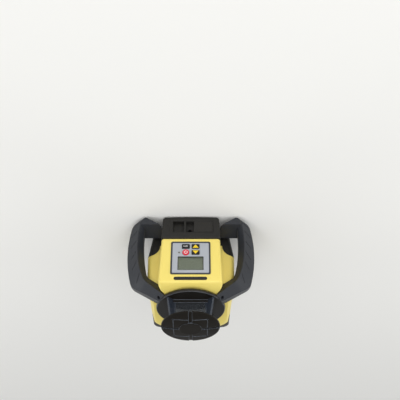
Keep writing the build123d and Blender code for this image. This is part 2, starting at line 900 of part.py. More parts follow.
# Gasket under the head
with BuildPart() as head_gasket:
    with BuildSketch(Plane.XY.offset(shoulder_z)):
        Circle(flange_radius - gasket_inset)
        Circle(yoke_inner + gasket_hole_gap, mode=Mode.SUBTRACT)
    extrude(amount=gasket_height)
head_gasket.part.label = "head_gasket"
export_step(head_gasket.part, "parts/head_gasket.step")

# Round flange of the head, dished, with the square sill of the windows
with BuildPart() as head_base:
    with BuildSketch(Plane.XZ):
        with BuildLine():
            Polyline(
                (head_opening, head_bottom_z),
                (flange_radius - flange_foot, head_bottom_z),
                (flange_radius, head_bottom_z + flange_foot),
                (flange_radius, flange_top_z - flange_dish),
                (flange_radius - flange_dish, flange_top_z),
                (flange_radius - flange_lip, flange_top_z),
                (flange_radius - 2 * flange_lip, dish_z),
                (head_opening, dish_z),
                close=True,
            )
        make_face()
    revolve(axis=Axis.Z)
    with BuildSketch(Plane.XY.offset(dish_z)):
        Rectangle(2 * sill_half, 2 * sill_half)
        Rectangle(2 * sill_inner_half, 2 * sill_inner_half, mode=Mode.SUBTRACT)
    extrude(amount=sill_height)
head_base.part.label = "head_base"
export_step(head_base.part, "parts/head_base.step")

# Four corner posts, each with its radial fin
post_centre = pane_half + 2 * seat_gap + post_size / 2
with BuildPart() as head_posts:
    with BuildSketch(Plane.XY.offset(sill_top_z)):
        with GridLocations(2 * post_centre, 2 * post_centre, 2, 2):
            Rectangle(post_size, post_size)
    extrude(amount=window_height)
    for corner in range(4):
        turn = radians(45 + 90 * corner)
        diagonal = 2 ** 0.5
        outward = (cos(turn), sin(turn), 0)
        sideways = (sin(turn), -cos(turn), 0)
        with BuildSketch(Plane(origin=(0, 0, 0), x_dir=outward, z_dir=sideways)):
            with BuildLine():
                Polyline(
                    (post_centre * diagonal, sill_top_z),
                    (sill_half * diagonal + seat_gap, sill_top_z),
                    (sill_half * diagonal + seat_gap, dish_z),
                    (fin_low_radius, dish_z),
                    (fin_high_radius, cover_bottom_z),
                    (post_centre * diagonal, cover_bottom_z),
                    close=True,
                )
            make_face()
        extrude(amount=fin_thickness / 2, both=True)
head_posts.part.label = "head_posts"
export_step(head_posts.part, "parts/head_posts.step")


def pane_form(turns):
    """Flat window pane on the sill, turned about the rotor axis by quarter turns."""
    with BuildPart() as pane:
        with BuildSketch(Plane.XY.offset(sill_top_z).rotated((0, 0, 90 * turns))):
            with Locations((0, pane_thickness / 2 - pane_outer)):
                Rectangle(2 * pane_half, pane_thickness)
        extrude(amount=window_height)
    return pane.part


# Window panes round the rotor
with BuildPart() as window_front:
    add(pane_form(0))
window_front.part.label = "window_front"
export_step(window_front.part, "parts/window_front.step")

with BuildPart() as window_right:
    add(pane_form(1))
window_right.part.label = "window_right"
export_step(window_right.part, "parts/window_right.step")

with BuildPart() as window_back:
    add(pane_form(2))
window_back.part.label = "window_back"
export_step(window_back.part, "parts/window_back.step")

with BuildPart() as window_left:
    add(pane_form(3))
window_left.part.label = "window_left"
export_step(window_left.part, "parts/window_left.step")


def dome_form(lower):
    """Cover blank with a spherical top, sunk by lower."""
    rim_z = cover_bottom_z + cover_rim - lower
    top_z = rim_z + cover_dome
    dome_radius = (cover_radius**2 + cover_dome**2) / (2 * cover_dome)
    with BuildPart() as dome:
        with BuildSketch(Plane.XZ):
            with BuildLine():
                Polyline(
                    (cover_radius, rim_z),
                    (cover_radius, cover_bottom_z),
                    (0, cover_bottom_z),
                    (0, top_z),
                )
                RadiusArc((0, top_z), (cover_radius, rim_z), dome_radius)
            make_face()
        revolve(axis=Axis.Z)
    return dome.part


# Cutters for the crossed sighting grooves and the fine square line on the cover
with BuildPart() as sight_cross:
    with BuildSketch(Plane.XY.offset(cover_bottom_z)):
        Rectangle(2 * cover_radius + wall, sight_groove)
        Rectangle(sight_groove, 2 * cover_radius + wall)
        Circle(boss_radius + boss_moat, mode=Mode.SUBTRACT)
    extrude(amount=cover_rim + cover_dome + wall)
    add(dome_form(sight_groove_depth), mode=Mode.SUBTRACT)
with BuildPart() as square_line:
    with BuildSketch(Plane.XY.offset(cover_bottom_z)):
        Rectangle(2 * cover_square_half + cover_square_line, 2 * cover_square_half + cover_square_line)
        Rectangle(
            2 * cover_square_half - cover_square_line,
            2 * cover_square_half - cover_square_line,
            mode=Mode.SUBTRACT,
        )
    extrude(amount=cover_rim + cover_dome)
    add(dome_form(cover_square_line / 2), mode=Mode.SUBTRACT)

# Domed cover of the head
boss_top_z = cover_bottom_z + cover_rim + cover_dome + boss_height
with BuildPart() as head_cover:
    add(dome_form(0))
    fillet(head_cover.edges().group_by(SortBy.LENGTH)[-1].sort_by(Axis.Z)[-1], cover_edge)
    add(square_line.part, mode=Mode.SUBTRACT)
    add(sight_cross.part, mode=Mode.SUBTRACT)
    with BuildSketch(Plane.XY.offset(cover_bottom_z + cover_rim)):
        Circle(boss_radius)
    extrude(amount=boss_top_z - cover_bottom_z - cover_rim)
    chamfer(head_cover.faces().sort_by(Axis.Z)[-1].edges(), boss_height)
    with BuildSketch(Plane.XY.offset(cover_bottom_z)):
        with GridLocations(2 * cover_square_half, 2 * cover_square_half, 2, 2):
            Circle(cover_screw_radius + seat_gap)
    extrude(amount=cover_rim + cover_dome, mode=Mode.SUBTRACT)
    with BuildSketch(Plane.XY.offset(cover_bottom_z)):
        Circle(pane_half)
    extrude(amount=cover_rim / 3, mode=Mode.SUBTRACT)
head_cover.part.label = "head_cover"
export_step(head_cover.part, "parts/head_cover.step")

# Screws through the cover into the fins
with BuildPart() as cover_screws:
    with BuildSketch(Plane.XY.offset(cover_bottom_z)):
        with GridLocations(2 * cover_square_half, 2 * cover_square_half, 2, 2):
            Circle(cover_screw_radius)
    extrude(amount=cover_screw_height)
    with BuildSketch(Plane.XY.offset(cover_bottom_z + cover_screw_height)):
        with GridLocations(2 * cover_square_half, 2 * cover_square_half, 2, 2):
            RegularPolygon(cover_screw_radius / 2, 6)
    extrude(amount=-cover_screw_height / 4, mode=Mode.SUBTRACT)
cover_screws.part.label = "cover_screws"
export_step(cover_screws.part, "parts/cover_screws.step")

# Raised frame round the panel
with BuildPart() as panel_bezel:
    with BuildSketch(front_plane(block_front_y)):
        with Locations((0, panel_mid_z)):
            RectangleRounded(2 * panel_half, panel_height, panel_corner)
            RectangleRounded(
                2 * (panel_half - bezel_width),
                panel_height - 2 * bezel_width,
                panel_corner - bezel_width / 2,
                mode=Mode.SUBTRACT,
            )
    extrude(amount=bezel_height)
    chamfer(panel_bezel.faces().sort_by(Axis.Y)[0].edges(), bezel_height / 4)
panel_bezel.part.label = "panel_bezel"
export_step(panel_bezel.part, "parts/panel_bezel.step")

# Overlay sheet inside the frame, with its windows
with BuildPart() as panel_overlay:
    with BuildSketch(front_plane(block_front_y)):
        with Locations((0, panel_mid_z)):
            RectangleRounded(
                2 * (panel_half - bezel_width - seat_gap),
                panel_height - 2 * (bezel_width + seat_gap),
                panel_corner - bezel_width / 2,
            )
        with Locations((0, lcd_mid_z)):
            Rectangle(2 * lcd_half, lcd_height, mode=Mode.SUBTRACT)
        for x, z in key_stations():
            with Locations((x, z)):
                RectangleRounded(
                    key_width + 2 * slide_gap,
                    key_height + 2 * slide_gap,
                    key_corner,
                    mode=Mode.SUBTRACT,
                )
        with Locations((key_column_x, key_row_high_z)):
            Circle(power_key_radius + slide_gap, mode=Mode.SUBTRACT)
        with Locations((lamp_x, key_row_high_z)):
            Circle(lamp_radius + seat_gap, mode=Mode.SUBTRACT)
    extrude(amount=overlay_height)
panel_overlay.part.label = "panel_overlay"
export_step(panel_overlay.part, "parts/panel_overlay.step")

# Display glass, sunk in the wall, and the display behind it
with BuildPart() as lcd_window:
    with BuildSketch(front_plane(block_front_y + wall)):
        with Locations((0, lcd_mid_z)):
            Rectangle(2 * (lcd_half - seat_gap), lcd_height - 2 * seat_gap)
    extrude(amount=lcd_glass)
lcd_window.part.label = "lcd_window"
export_step(lcd_window.part, "parts/lcd_window.step")

with BuildPart() as lcd_module:
    with BuildSketch(front_plane(keypad_front_y)):
        with Locations((0, lcd_mid_z)):
            Rectangle(2 * (lcd_half + lcd_border), lcd_height + 2 * lcd_border)
    extrude(amount=keypad_gap)
lcd_module.part.label = "lcd_module"
export_step(lcd_module.part, "parts/lcd_module.step")

# Lamp beside the power key
with BuildPart() as status_led:
    with BuildSketch(front_plane(keypad_front_y)):
        with Locations((lamp_x, key_row_high_z)):
            Circle(lamp_radius)
    extrude(amount=keypad_front_y - block_front_y + overlay_height + seat_gap)
    fillet(status_led.faces().sort_by(Axis.Y)[0].edges(), lamp_radius / 2)
status_led.part.label = "status_led"
export_step(status_led.part, "parts/status_led.step")

# Bare bar above the panel
with BuildPart() as badge_plate:
    with BuildSketch(front_plane(block_front_y)):
        with Locations((0, (badge_low_z + badge_high_z) / 2)):
            SlotOverall(2 * badge_half, badge_high_z - badge_low_z)
    extrude(amount=badge_height)
badge_plate.part.label = "badge_plate"
export_step(badge_plate.part, "parts/badge_plate.step")

# Circuit boards: one behind the keys, one on the long posts
with BuildPart() as keypad_board:
    with BuildSketch(front_plane(keypad_front_y)):
        with Locations((0, panel_mid_z)):
            Rectangle(2 * (panel_half + seat_gap), panel_height + 2 * board_post)
    extrude(amount=-board_thickness)
keypad_board.part.label = "keypad_board"
export_step(keypad_board.part, "parts/keypad_board.step")

with BuildPart() as main_board:
    with BuildSketch(front_plane(main_board_y)):
        with Locations((0, panel_mid_z)):
            Rectangle(2 * main_board_half, panel_height + 2 * board_post)
    extrude(amount=-board_thickness)
main_board.part.label = "main_board"
export_step(main_board.part, "parts/main_board.step")


def key_form(outline):
    """Key cap on its stem, with a lip that stays behind the wall."""
    stem_y = keypad_front_y - key_travel - seat_gap
    lip_y = block_front_y + wall + slide_gap
    with BuildPart() as key:
        with BuildSketch(front_plane(stem_y)):
            add(outline)
        extrude(amount=stem_y - block_front_y + overlay_height + key_proud)
        fillet(key.faces().sort_by(Axis.Y)[0].edges(), key_proud / 3)
        with BuildSketch(front_plane(stem_y)):
            add(outline)
            offset(amount=key_lip)
        extrude(amount=stem_y - lip_y)
    return key.part


# Panel keys
with BuildSketch() as function_cap:
    with Locations((key_column_x, key_row_low_z)):
        RectangleRounded(key_width, key_height, key_corner)
with BuildPart() as function_key:
    add(key_form(function_cap.sketch))
function_key.part.label = "function_key"
export_step(function_key.part, "parts/function_key.step")

with BuildSketch() as down_cap:
    with Locations((-key_column_x, key_row_low_z)):
        RectangleRounded(key_width, key_height, key_corner)
with BuildPart() as down_key:
    add(key_form(down_cap.sketch))
down_key.part.label = "down_key"
export_step(down_key.part, "parts/down_key.step")

with BuildSketch() as up_cap:
    with Locations((-key_column_x, key_row_high_z)):
        RectangleRounded(key_width, key_height, key_corner)
with BuildPart() as up_key:
    add(key_form(up_cap.sketch))
up_key.part.label = "up_key"
export_step(up_key.part, "parts/up_key.step")

with BuildSketch() as power_cap:
    with Locations((key_column_x, key_row_high_z)):
        Circle(power_key_radius)
with BuildPart() as power_key:
    add(key_form(power_cap.sketch))
power_key.part.label = "power_key"
export_step(power_key.part, "parts/power_key.step")

# Battery door with the lock channel, the jack pocket and the pull pocket
channel_mid_z = (channel_low_z + channel_high_z) / 2
channel_height = channel_high_z - channel_low_z
door_top_z = block_bottom_z - door_top_gap
with BuildPart() as battery_door:
    with BuildSketch(front_plane(door_back_y)) as door_outline:
        with BuildLine():
            Polyline(
                (door_low_half, door_bottom_z + door_bow),
                (door_high_half, door_top_z),
                (-door_high_half, door_top_z),
                (-door_low_half, door_bottom_z + door_bow),
            )
            ThreePointArc(
                (-door_low_half, door_bottom_z + door_bow),
                (0, door_bottom_z),
                (door_low_half, door_bottom_z + door_bow),
            )
        make_face()
        fillet(door_outline.vertices().group_by(Axis.Y)[0], door_corner)
        fillet(door_outline.vertices().group_by(Axis.Y)[-1], door_corner / 3)
    extrude(amount=door_back_y - door_front_y)
    fillet(battery_door.faces().sort_by(Axis.Y)[0].edges(), door_edge)
    with BuildSketch(front_plane(door_front_y)):
        inset_left_x = channel_left_x - inset_margin
        with Locations(((inset_left_x + inset_right_x) / 2, channel_mid_z)):
            Rectangle(inset_right_x - inset_left_x, channel_height + 2 * inset_margin)
    extrude(amount=-inset_depth, mode=Mode.SUBTRACT)
    with BuildSketch(front_plane(door_front_y)):
        with Locations(((channel_left_x + stop_rib_x) / 2, channel_mid_z)):
            Rectangle(stop_rib_x - channel_left_x, channel_height)
    extrude(amount=-channel_depth, mode=Mode.SUBTRACT)
    with BuildSketch(front_plane(door_front_y + channel_depth)):
        with Locations(((channel_left_x + stop_rib_x) / 2, channel_mid_z)):
            Rectangle(stop_rib_x - channel_left_x, channel_height + 2 * rail_width)
    extrude(amount=rail_depth, mode=Mode.SUBTRACT)
    pull_left_x = stop_rib_x + stop_rib_width
    with BuildSketch(front_plane(door_front_y)):
        with Locations(((slider_right_x + stop_rib_x) / 2, channel_mid_z)):
            Rectangle(stop_rib_x - slider_right_x, channel_height)
        with Locations(((pull_left_x + pull_right_x) / 2, channel_mid_z)):
            Rectangle(pull_right_x - pull_left_x, channel_height)
    extrude(amount=-pull_depth, mode=Mode.SUBTRACT)
    with BuildSketch(front_plane(door_back_y)):
        with Locations((jack_x, jack_z)):
            Circle(jack_radius)
    extrude(amount=door_back_y - door_front_y - pull_depth, mode=Mode.SUBTRACT)
battery_door.part.label = "battery_door"
export_step(battery_door.part, "parts/battery_door.step")

# Lock slider, which also covers the charge jack
slider_left_x = channel_left_x + slide_gap
slider_end_x = slider_right_x - slide_gap
slider_back_y = door_front_y + channel_depth - slide_gap
with BuildPart() as lock_slider:
    with BuildSketch(front_plane(slider_back_y)):
        with Locations(((slider_left_x + slider_end_x) / 2, channel_mid_z)):
            Rectangle(slider_end_x - slider_left_x, channel_height - 2 * slide_gap)
    extrude(amount=channel_depth - slide_gap - slider_sink)
    chamfer(lock_slider.faces().sort_by(Axis.Y)[0].edges(), slider_sink * 2)
    with BuildSketch(front_plane(slider_back_y)):
        with Locations(((slider_left_x + slider_end_x) / 2, channel_mid_z)):
            Rectangle(slider_end_x - slider_left_x, channel_height + 2 * (rail_width - slide_gap))
    extrude(amount=rail_depth - 2 * slide_gap)
lock_slider.part.label = "lock_slider"
export_step(lock_slider.part, "parts/lock_slider.step")

# Charge jack with its centre pin
with BuildPart() as charge_jack:
    with BuildSketch(front_plane(door_back_y)):
        with Locations((jack_x, jack_z)):
            Circle(jack_radius)
    extrude(amount=jack_length)
    with BuildSketch(front_plane(door_back_y - jack_length)):
        with Locations((jack_x, jack_z)):
            Circle(jack_bore)
            Circle(jack_pin, mode=Mode.SUBTRACT)
    extrude(amount=-(jack_length - jack_pin), mode=Mode.SUBTRACT)
charge_jack.part.label = "charge_jack"
export_step(charge_jack.part, "parts/charge_jack.step")

# Battery case behind the door, open to it, and the four cells
case_low_z = bay_floor_z + slide_gap
case_high_z = bay_roof_z - case_gap
case_back_y = bay_back_y - case_gap
with BuildPart() as battery_case:
    with BuildSketch(front_plane(door_back_y)):
        with Locations((0, (case_low_z + case_high_z) / 2)):
            Rectangle(2 * (bay_half - case_gap), case_high_z - case_low_z)
    extrude(amount=-(case_back_y - door_back_y))
    with BuildSketch(front_plane(door_back_y)):
        with Locations((0, (case_low_z + case_high_z) / 2)):
            Rectangle(2 * (bay_half - case_gap - case_wall), case_high_z - case_low_z - 2 * case_wall)
    extrude(amount=-(case_back_y - door_back_y - case_wall), mode=Mode.SUBTRACT)
battery_case.part.label = "battery_case"
export_step(battery_case.part, "parts/battery_case.step")

with BuildPart() as battery_cells:
    cell_mid_y = (door_back_y + case_back_y) / 2
    cell_mid_z = case_low_z + case_wall + 2 * cell_radius + seat_gap / 2
    with BuildSketch(Plane.YZ.offset(cell_left_x)):
        with Locations((cell_mid_y, cell_mid_z)):
            with GridLocations(cell_column_y, 2 * cell_radius + seat_gap, 2, 2):
                Circle(cell_radius)
    extrude(amount=cell_length)
battery_cells.part.label = "battery_cells"
export_step(battery_cells.part, "parts/battery_cells.step")

# Seal behind the door, and the contacts at the back of the bay
with BuildPart() as door_gasket:
    with BuildSketch(front_plane(door_back_y)):
        with Locations((0, (bay_floor_z + bay_roof_z) / 2)):
            Rectangle(
                2 * (bay_half + slide_gap + gasket_width),
                bay_roof_z - bay_floor_z + 2 * (slide_gap + gasket_width),
            )
            Rectangle(
                2 * (bay_half + slide_gap),
                bay_roof_z - bay_floor_z + 2 * slide_gap,
                mode=Mode.SUBTRACT,
            )
    extrude(amount=-gasket_squeeze)
door_gasket.part.label = "door_gasket"
export_step(door_gasket.part, "parts/door_gasket.step")

with BuildPart() as battery_contacts:
    with BuildSketch(front_plane(bay_back_y)):
        with Locations((0, (bay_floor_z + bay_roof_z) / 2)):
            with GridLocations(2 * contact_spread_x, 0, 2, 1):
                Rectangle(contact_width, contact_height)
    extrude(amount=case_gap - slide_gap)
battery_contacts.part.label = "battery_contacts"
export_step(battery_contacts.part, "parts/battery_contacts.step")

# Yoke that hangs the levelling mechanism under the shoulder
yoke_top_z = shoulder_z - wall
shelf_top_z = x_actuator_top_z - shelf_drop
with BuildPart() as gimbal_yoke:
    with BuildSketch(Plane.XY.offset(yoke_top_z)):
        Circle(yoke_outer)
        with Locations((0, (yoke_inner + column_back_y) / 2)):
            Rectangle(column_width, column_back_y - yoke_inner)
        Circle(yoke_inner, mode=Mode.SUBTRACT)
    extrude(amount=-yoke_plate)
    with BuildSketch(Plane.XY.offset(pivot_z - ring_height / 2)):
        with GridLocations(2 * leg_x + leg_thickness, 0, 2, 1):
            Rectangle(leg_thickness, leg_width)
    extrude(amount=yoke_top_z - pivot_z + ring_height / 2)
    with BuildSketch(Plane.XY.offset(shelf_top_z - yoke_plate)):
        with Locations((0, column_back_y - leg_thickness / 2)):
            Rectangle(column_width, leg_thickness)
    extrude(amount=yoke_top_z - shelf_top_z + yoke_plate)
    with BuildSketch(Plane.XY.offset(shelf_top_z)):
        with Locations((0, (x_arm_reach - actuator_radius + column_back_y) / 2)):
            Rectangle(2 * actuator_radius + column_width / 2, column_back_y - x_arm_reach + actuator_radius)
        with Locations((0, x_arm_reach)):
            Circle(actuator_radius + seat_gap, mode=Mode.SUBTRACT)
    extrude(amount=-yoke_plate)
    with BuildSketch(Plane.YZ.offset(-yoke_outer)):
        with Locations((0, pivot_z)):
            Circle(pin_radius)
    extrude(amount=2 * yoke_outer, mode=Mode.SUBTRACT)
gimbal_yoke.part.label = "gimbal_yoke"
export_step(gimbal_yoke.part, "parts/gimbal_yoke.step")

# Fixed pins the gimbal ring tilts on
with BuildPart() as yoke_pins:
    for side in (-1, 1):
        with BuildSketch(Plane.YZ.offset(side * yoke_outer)):
            with Locations((0, pivot_z)):
                Circle(pin_radius)
        extrude(amount=-side * (yoke_outer - ring_inner - slide_gap))
yoke_pins.part.label = "yoke_pins"
export_step(yoke_pins.part, "parts/yoke_pins.step")

# Gimbal ring with the arm its actuator lifts
with BuildPart() as gimbal_ring:
    with BuildSketch(Plane.XY.offset(pivot_z - x_arm_height / 2)):
        with Locations((0, (ring_inner + x_arm_reach + x_arm_width / 2) / 2)):
            Rectangle(x_arm_width, x_arm_reach + x_arm_width / 2 - ring_inner)
    extrude(amount=x_arm_height)
    with BuildSketch(Plane.XY.offset(pivot_z - ring_height / 2)):
        Circle(ring_outer)
    extrude(amount=ring_height)
    with BuildSketch(Plane.XY.offset(pivot_z - ring_height / 2)):
        Circle(ring_inner)
    extrude(amount=ring_height, mode=Mode.SUBTRACT)
    with BuildSketch(Plane.YZ.offset(-ring_outer)):
        with Locations((0, pivot_z)):
            Circle(pin_radius + pin_gap)
    extrude(amount=2 * ring_outer, mode=Mode.SUBTRACT)
    with BuildSketch(front_plane(ring_pin_end)):
        with Locations((0, pivot_z)):
            Circle(pin_radius)
    extrude(amount=2 * ring_pin_end, mode=Mode.SUBTRACT)
gimbal_ring.part.label = "gimbal_ring"
export_step(gimbal_ring.part, "parts/gimbal_ring.step")

# Pins in the ring that the tube tilts on
with BuildPart() as ring_pins:
    for side in (-1, 1):
        with BuildSketch(front_plane(side * ring_pin_end)):
            with Locations((0, pivot_z)):
                Circle(pin_radius)
        extrude(amount=side * (ring_pin_end - tube_bore - 2 * slide_gap - tube_web))
ring_pins.part.label = "ring_pins"
export_step(ring_pins.part, "parts/ring_pins.step")

# Levelling tube: laser below, motor flange and rotor spindle above, arm at the side
with BuildPart() as levelling_tube:
    with BuildSketch(Plane.XZ):
        with BuildLine():
            Polyline(
                (tube_bore, tube_bottom_z),
                (tube_radius, tube_bottom_z),
                (tube_radius, tube_top_z - tube_flange),
                (stator_radius, tube_top_z - tube_flange),
                (stator_radius, tube_top_z),
                (collar_radius, tube_top_z),
                (collar_radius, collar_top_z),
                (spindle_radius, collar_top_z),
                (spindle_radius, spindle_top_z),
                (spindle_bore, spindle_top_z),
                (spindle_bore, tube_top_z - 2 * tube_flange),
                (tube_bore, tube_top_z - 2 * tube_flange),
                close=True,
            )
        make_face()
    revolve(axis=Axis.Z)
    arm_start_x = (tube_bore + tube_radius) / 2
    arm_end_x = y_arm_reach + y_arm_height
    with BuildSketch(Plane.XY.offset(y_arm_top_z)):
        with Locations(((arm_start_x + arm_end_x) / 2, 0)):
            Rectangle(arm_end_x - arm_start_x, y_arm_width)
    extrude(amount=-y_arm_height)
    for side in (-1, 1):
        with BuildSketch(front_plane(side * tube_radius)):
            with Locations((0, pivot_z)):
                Circle(pin_radius + pin_gap)
        extrude(amount=side * (tube_radius - tube_bore - tube_web), mode=Mode.SUBTRACT)
levelling_tube.part.label = "levelling_tube"
export_step(levelling_tube.part, "parts/levelling_tube.step")

# Actuator that tilts the ring, hung in the shelf of the yoke by its flange
with BuildPart() as x_actuator:
    with BuildSketch(Plane.XY.offset(x_actuator_bottom_z)):
        with Locations((0, x_arm_reach)):
            Circle(actuator_radius)
    extrude(amount=x_actuator_length)
    with BuildSketch(Plane.XY.offset(shelf_top_z)):
        with Locations((0, x_arm_reach)):
            Circle(actuator_radius + actuator_flange)
    extrude(amount=actuator_flange)
    with BuildSketch(Plane.XY.offset(x_actuator_top_z)):
        with Locations((0, x_arm_reach)):
            Circle(plunger_radius + pin_gap)
    extrude(amount=-x_bore_depth, mode=Mode.SUBTRACT)
x_actuator.part.label = "x_actuator"
export_step(x_actuator.part, "parts/x_actuator.step")

x_plunger_top_z = pivot_z - x_arm_height / 2 - x_plunger_gap
with BuildPart() as x_plunger:
    with BuildSketch(Plane.XY.offset(x_plunger_top_z)):
        with Locations((0, x_arm_reach)):
            Circle(plunger_radius)
    extrude(amount=-x_plunger_length)
x_plunger.part.label = "x_plunger"
export_step(x_plunger.part, "parts/x_plunger.step")

# Actuator under the ring, which tilts the tube
y_actuator_bottom_z = pivot_z - ring_height / 2 - y_actuator_length
with BuildPart() as y_actuator:
    with BuildSketch(Plane.XY.offset(y_actuator_bottom_z)):
        with Locations((y_arm_reach, 0)):
            Circle(y_actuator_radius)
    extrude(amount=y_actuator_length)
    with BuildSketch(Plane.XY.offset(y_actuator_bottom_z)):
        with Locations((y_arm_reach, 0)):
            Circle(plunger_radius + pin_gap)
    extrude(amount=y_actuator_length - y_actuator_roof, mode=Mode.SUBTRACT)
y_actuator.part.label = "y_actuator"
export_step(y_actuator.part, "parts/y_actuator.step")

with BuildPart() as y_plunger:
    with BuildSketch(Plane.XY.offset(y_arm_top_z + y_plunger_gap)):
        with Locations((y_arm_reach, 0)):
            Circle(plunger_radius)
    extrude(amount=y_plunger_length)
y_plunger.part.label = "y_plunger"
export_step(y_plunger.part, "parts/y_plunger.step")

# Sensor plate under the tube, with two crossed vials
with BuildPart() as tilt_sensor_plate:
    with BuildSketch(Plane.XY.offset(tube_bottom_z)):
        Circle(tube_radius)
    extrude(amount=-sensor_plate)
    with BuildSketch(Plane.YZ.offset(-vial_length / 2)):
        with Locations((vial_offset, tube_bottom_z - sensor_plate)):
            Circle(vial_radius)
    extrude(amount=vial_length)
    with BuildSketch(front_plane(vial_offset - 2 * vial_radius)):
        with Locations((0, tube_bottom_z - sensor_plate)):
            Circle(vial_radius)
    extrude(amount=vial_length)
tilt_sensor_plate.part.label = "tilt_sensor_plate"
export_step(tilt_sensor_plate.part, "parts/tilt_sensor_plate.step")

# Laser in the bore, standing on the sensor plate, with its lens on top
with BuildPart() as laser_module:
    with BuildSketch(Plane.XY.offset(tube_bottom_z)):
        Circle(tube_bore - seat_gap)
    extrude(amount=laser_length)
    chamfer(laser_module.faces().sort_by(Axis.Z)[-1].edges(), seat_gap * 5)
laser_module.part.label = "laser_module"
export_step(laser_module.part, "parts/laser_module.step")

with BuildPart() as collimator_lens:
    with BuildSketch(Plane.XY.offset(tube_bottom_z + laser_length)):
        Circle(tube_bore - seat_gap)
    extrude(amount=lens_height)
    fillet(collimator_lens.faces().sort_by(Axis.Z)[-1].edges(), lens_height / 2)
collimator_lens.part.label = "collimator_lens"
export_step(collimator_lens.part, "parts/collimator_lens.step")

# Motor stator on the tube's flange
with BuildPart() as motor_stator:
    with BuildSketch(Plane.XY.offset(tube_top_z)):
        Circle(stator_radius)
        with PolarLocations(stator_radius, stator_slots):
            Rectangle(stator_radius / 2, stator_radius / 8, mode=Mode.SUBTRACT)
        Circle(collar_radius + seat_gap, mode=Mode.SUBTRACT)
    extrude(amount=stator_height)
motor_stator.part.label = "motor_stator"
export_step(motor_stator.part, "parts/motor_stator.step")

# Rotor: magnet ring, hub with the prism cup, encoder disc, bearings and prism
hub_bottom_z = tube_top_z + stator_height + magnet_gap + magnet_height
hub_radius = bearing_radius + hub_wall
with BuildPart() as magnet_ring:
    with BuildSketch(Plane.XY.offset(hub_bottom_z)):
        Circle(magnet_radius)
        Circle(bearing_radius, mode=Mode.SUBTRACT)
    extrude(amount=-magnet_height)
magnet_ring.part.label = "magnet_ring"
export_step(magnet_ring.part, "parts/magnet_ring.step")

with BuildPart() as rotor_housing:
    with BuildSketch(Plane.XZ):
        with BuildLine():
            Polyline(
                (bearing_radius, hub_bottom_z),
                (stator_radius, hub_bottom_z),
                (stator_radius, hub_bottom_z + hub_flange),
                (hub_radius, hub_bottom_z + hub_flange),
                (hub_radius, cup_floor_z),
                (rotor_radius, cup_floor_z),
                (rotor_radius, rotor_top_z),
                (beam_window_half, rotor_top_z),
                (beam_window_half, rotor_top_z - rotor_wall),
                (rotor_radius - rotor_wall, rotor_top_z - rotor_wall),
                (rotor_radius - rotor_wall, cup_floor_z + cup_floor),
                (beam_window_half, cup_floor_z + cup_floor),
                (beam_window_half, cup_floor_z),
                (bearing_radius, cup_floor_z),
                close=True,
            )
        make_face()
    revolve(axis=Axis.Z)
    with BuildSketch(front_plane(0)):
        with Locations((0, cup_floor_z + cup_floor + prism_half)):
            RectangleRounded(2 * beam_window_half, 2 * beam_window_half, beam_window_half / 3)
    extrude(amount=2 * rotor_radius, mode=Mode.SUBTRACT)
rotor_housing.part.label = "rotor_housing"
export_step(rotor_housing.part, "parts/rotor_housing.step")

with BuildPart() as encoder_disc:
    with BuildSketch(Plane.XY.offset(hub_bottom_z + hub_flange)):
        Circle(encoder_radius)
        Circle(hub_radius + seat_gap, mode=Mode.SUBTRACT)
    extrude(amount=encoder_thickness)
encoder_disc.part.label = "encoder_disc"
export_step(encoder_disc.part, "parts/encoder_disc.step")

with BuildPart() as rotor_bearings:
    for bottom_z in (collar_top_z + slide_gap, cup_floor_z - slide_gap - bearing_height):
        with BuildSketch(Plane.XY.offset(bottom_z)):
            Circle(bearing_radius)
            Circle(spindle_radius + pin_gap, mode=Mode.SUBTRACT)
        extrude(amount=bearing_height)
rotor_bearings.part.label = "rotor_bearings"
export_step(rotor_bearings.part, "parts/rotor_bearings.step")

with BuildPart() as prism:
    with BuildSketch(Plane.XY.offset(cup_floor_z + cup_floor)):
        Rectangle(2 * prism_half, 2 * prism_half)
    extrude(amount=2 * prism_half)
prism.part.label = "prism"
export_step(prism.part, "parts/prism.step")

# Screws that hold the bottom plate
with BuildPart() as housing_screws:
    for x, y in plate_screw_stations():
        with BuildSketch(Plane.XY.offset(plate_screw_sink)):
            with Locations((x, y)):
                Circle(plate_screw_head)
                RegularPolygon(plate_screw_shank, 6, mode=Mode.SUBTRACT)
        extrude(amount=plate_screw_seat_z - plate_screw_sink)
        with BuildSketch(Plane.XY.offset(plate_screw_seat_z - plate_screw_sink)):
            with Locations((x, y)):
                Circle(plate_screw_shank)
        extrude(amount=floor_z - plate_screw_seat_z + plate_screw_sink)
housing_screws.part.label = "housing_screws"
export_step(housing_screws.part, "parts/housing_screws.step")
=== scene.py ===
"""Looks of the rotary laser level: finishes for every solid of the frame, fine pieces, studio and camera."""
import json
import logging
import math
from dataclasses import dataclass
from enum import Enum

import bmesh
import bpy
from mathutils import Matrix, Vector

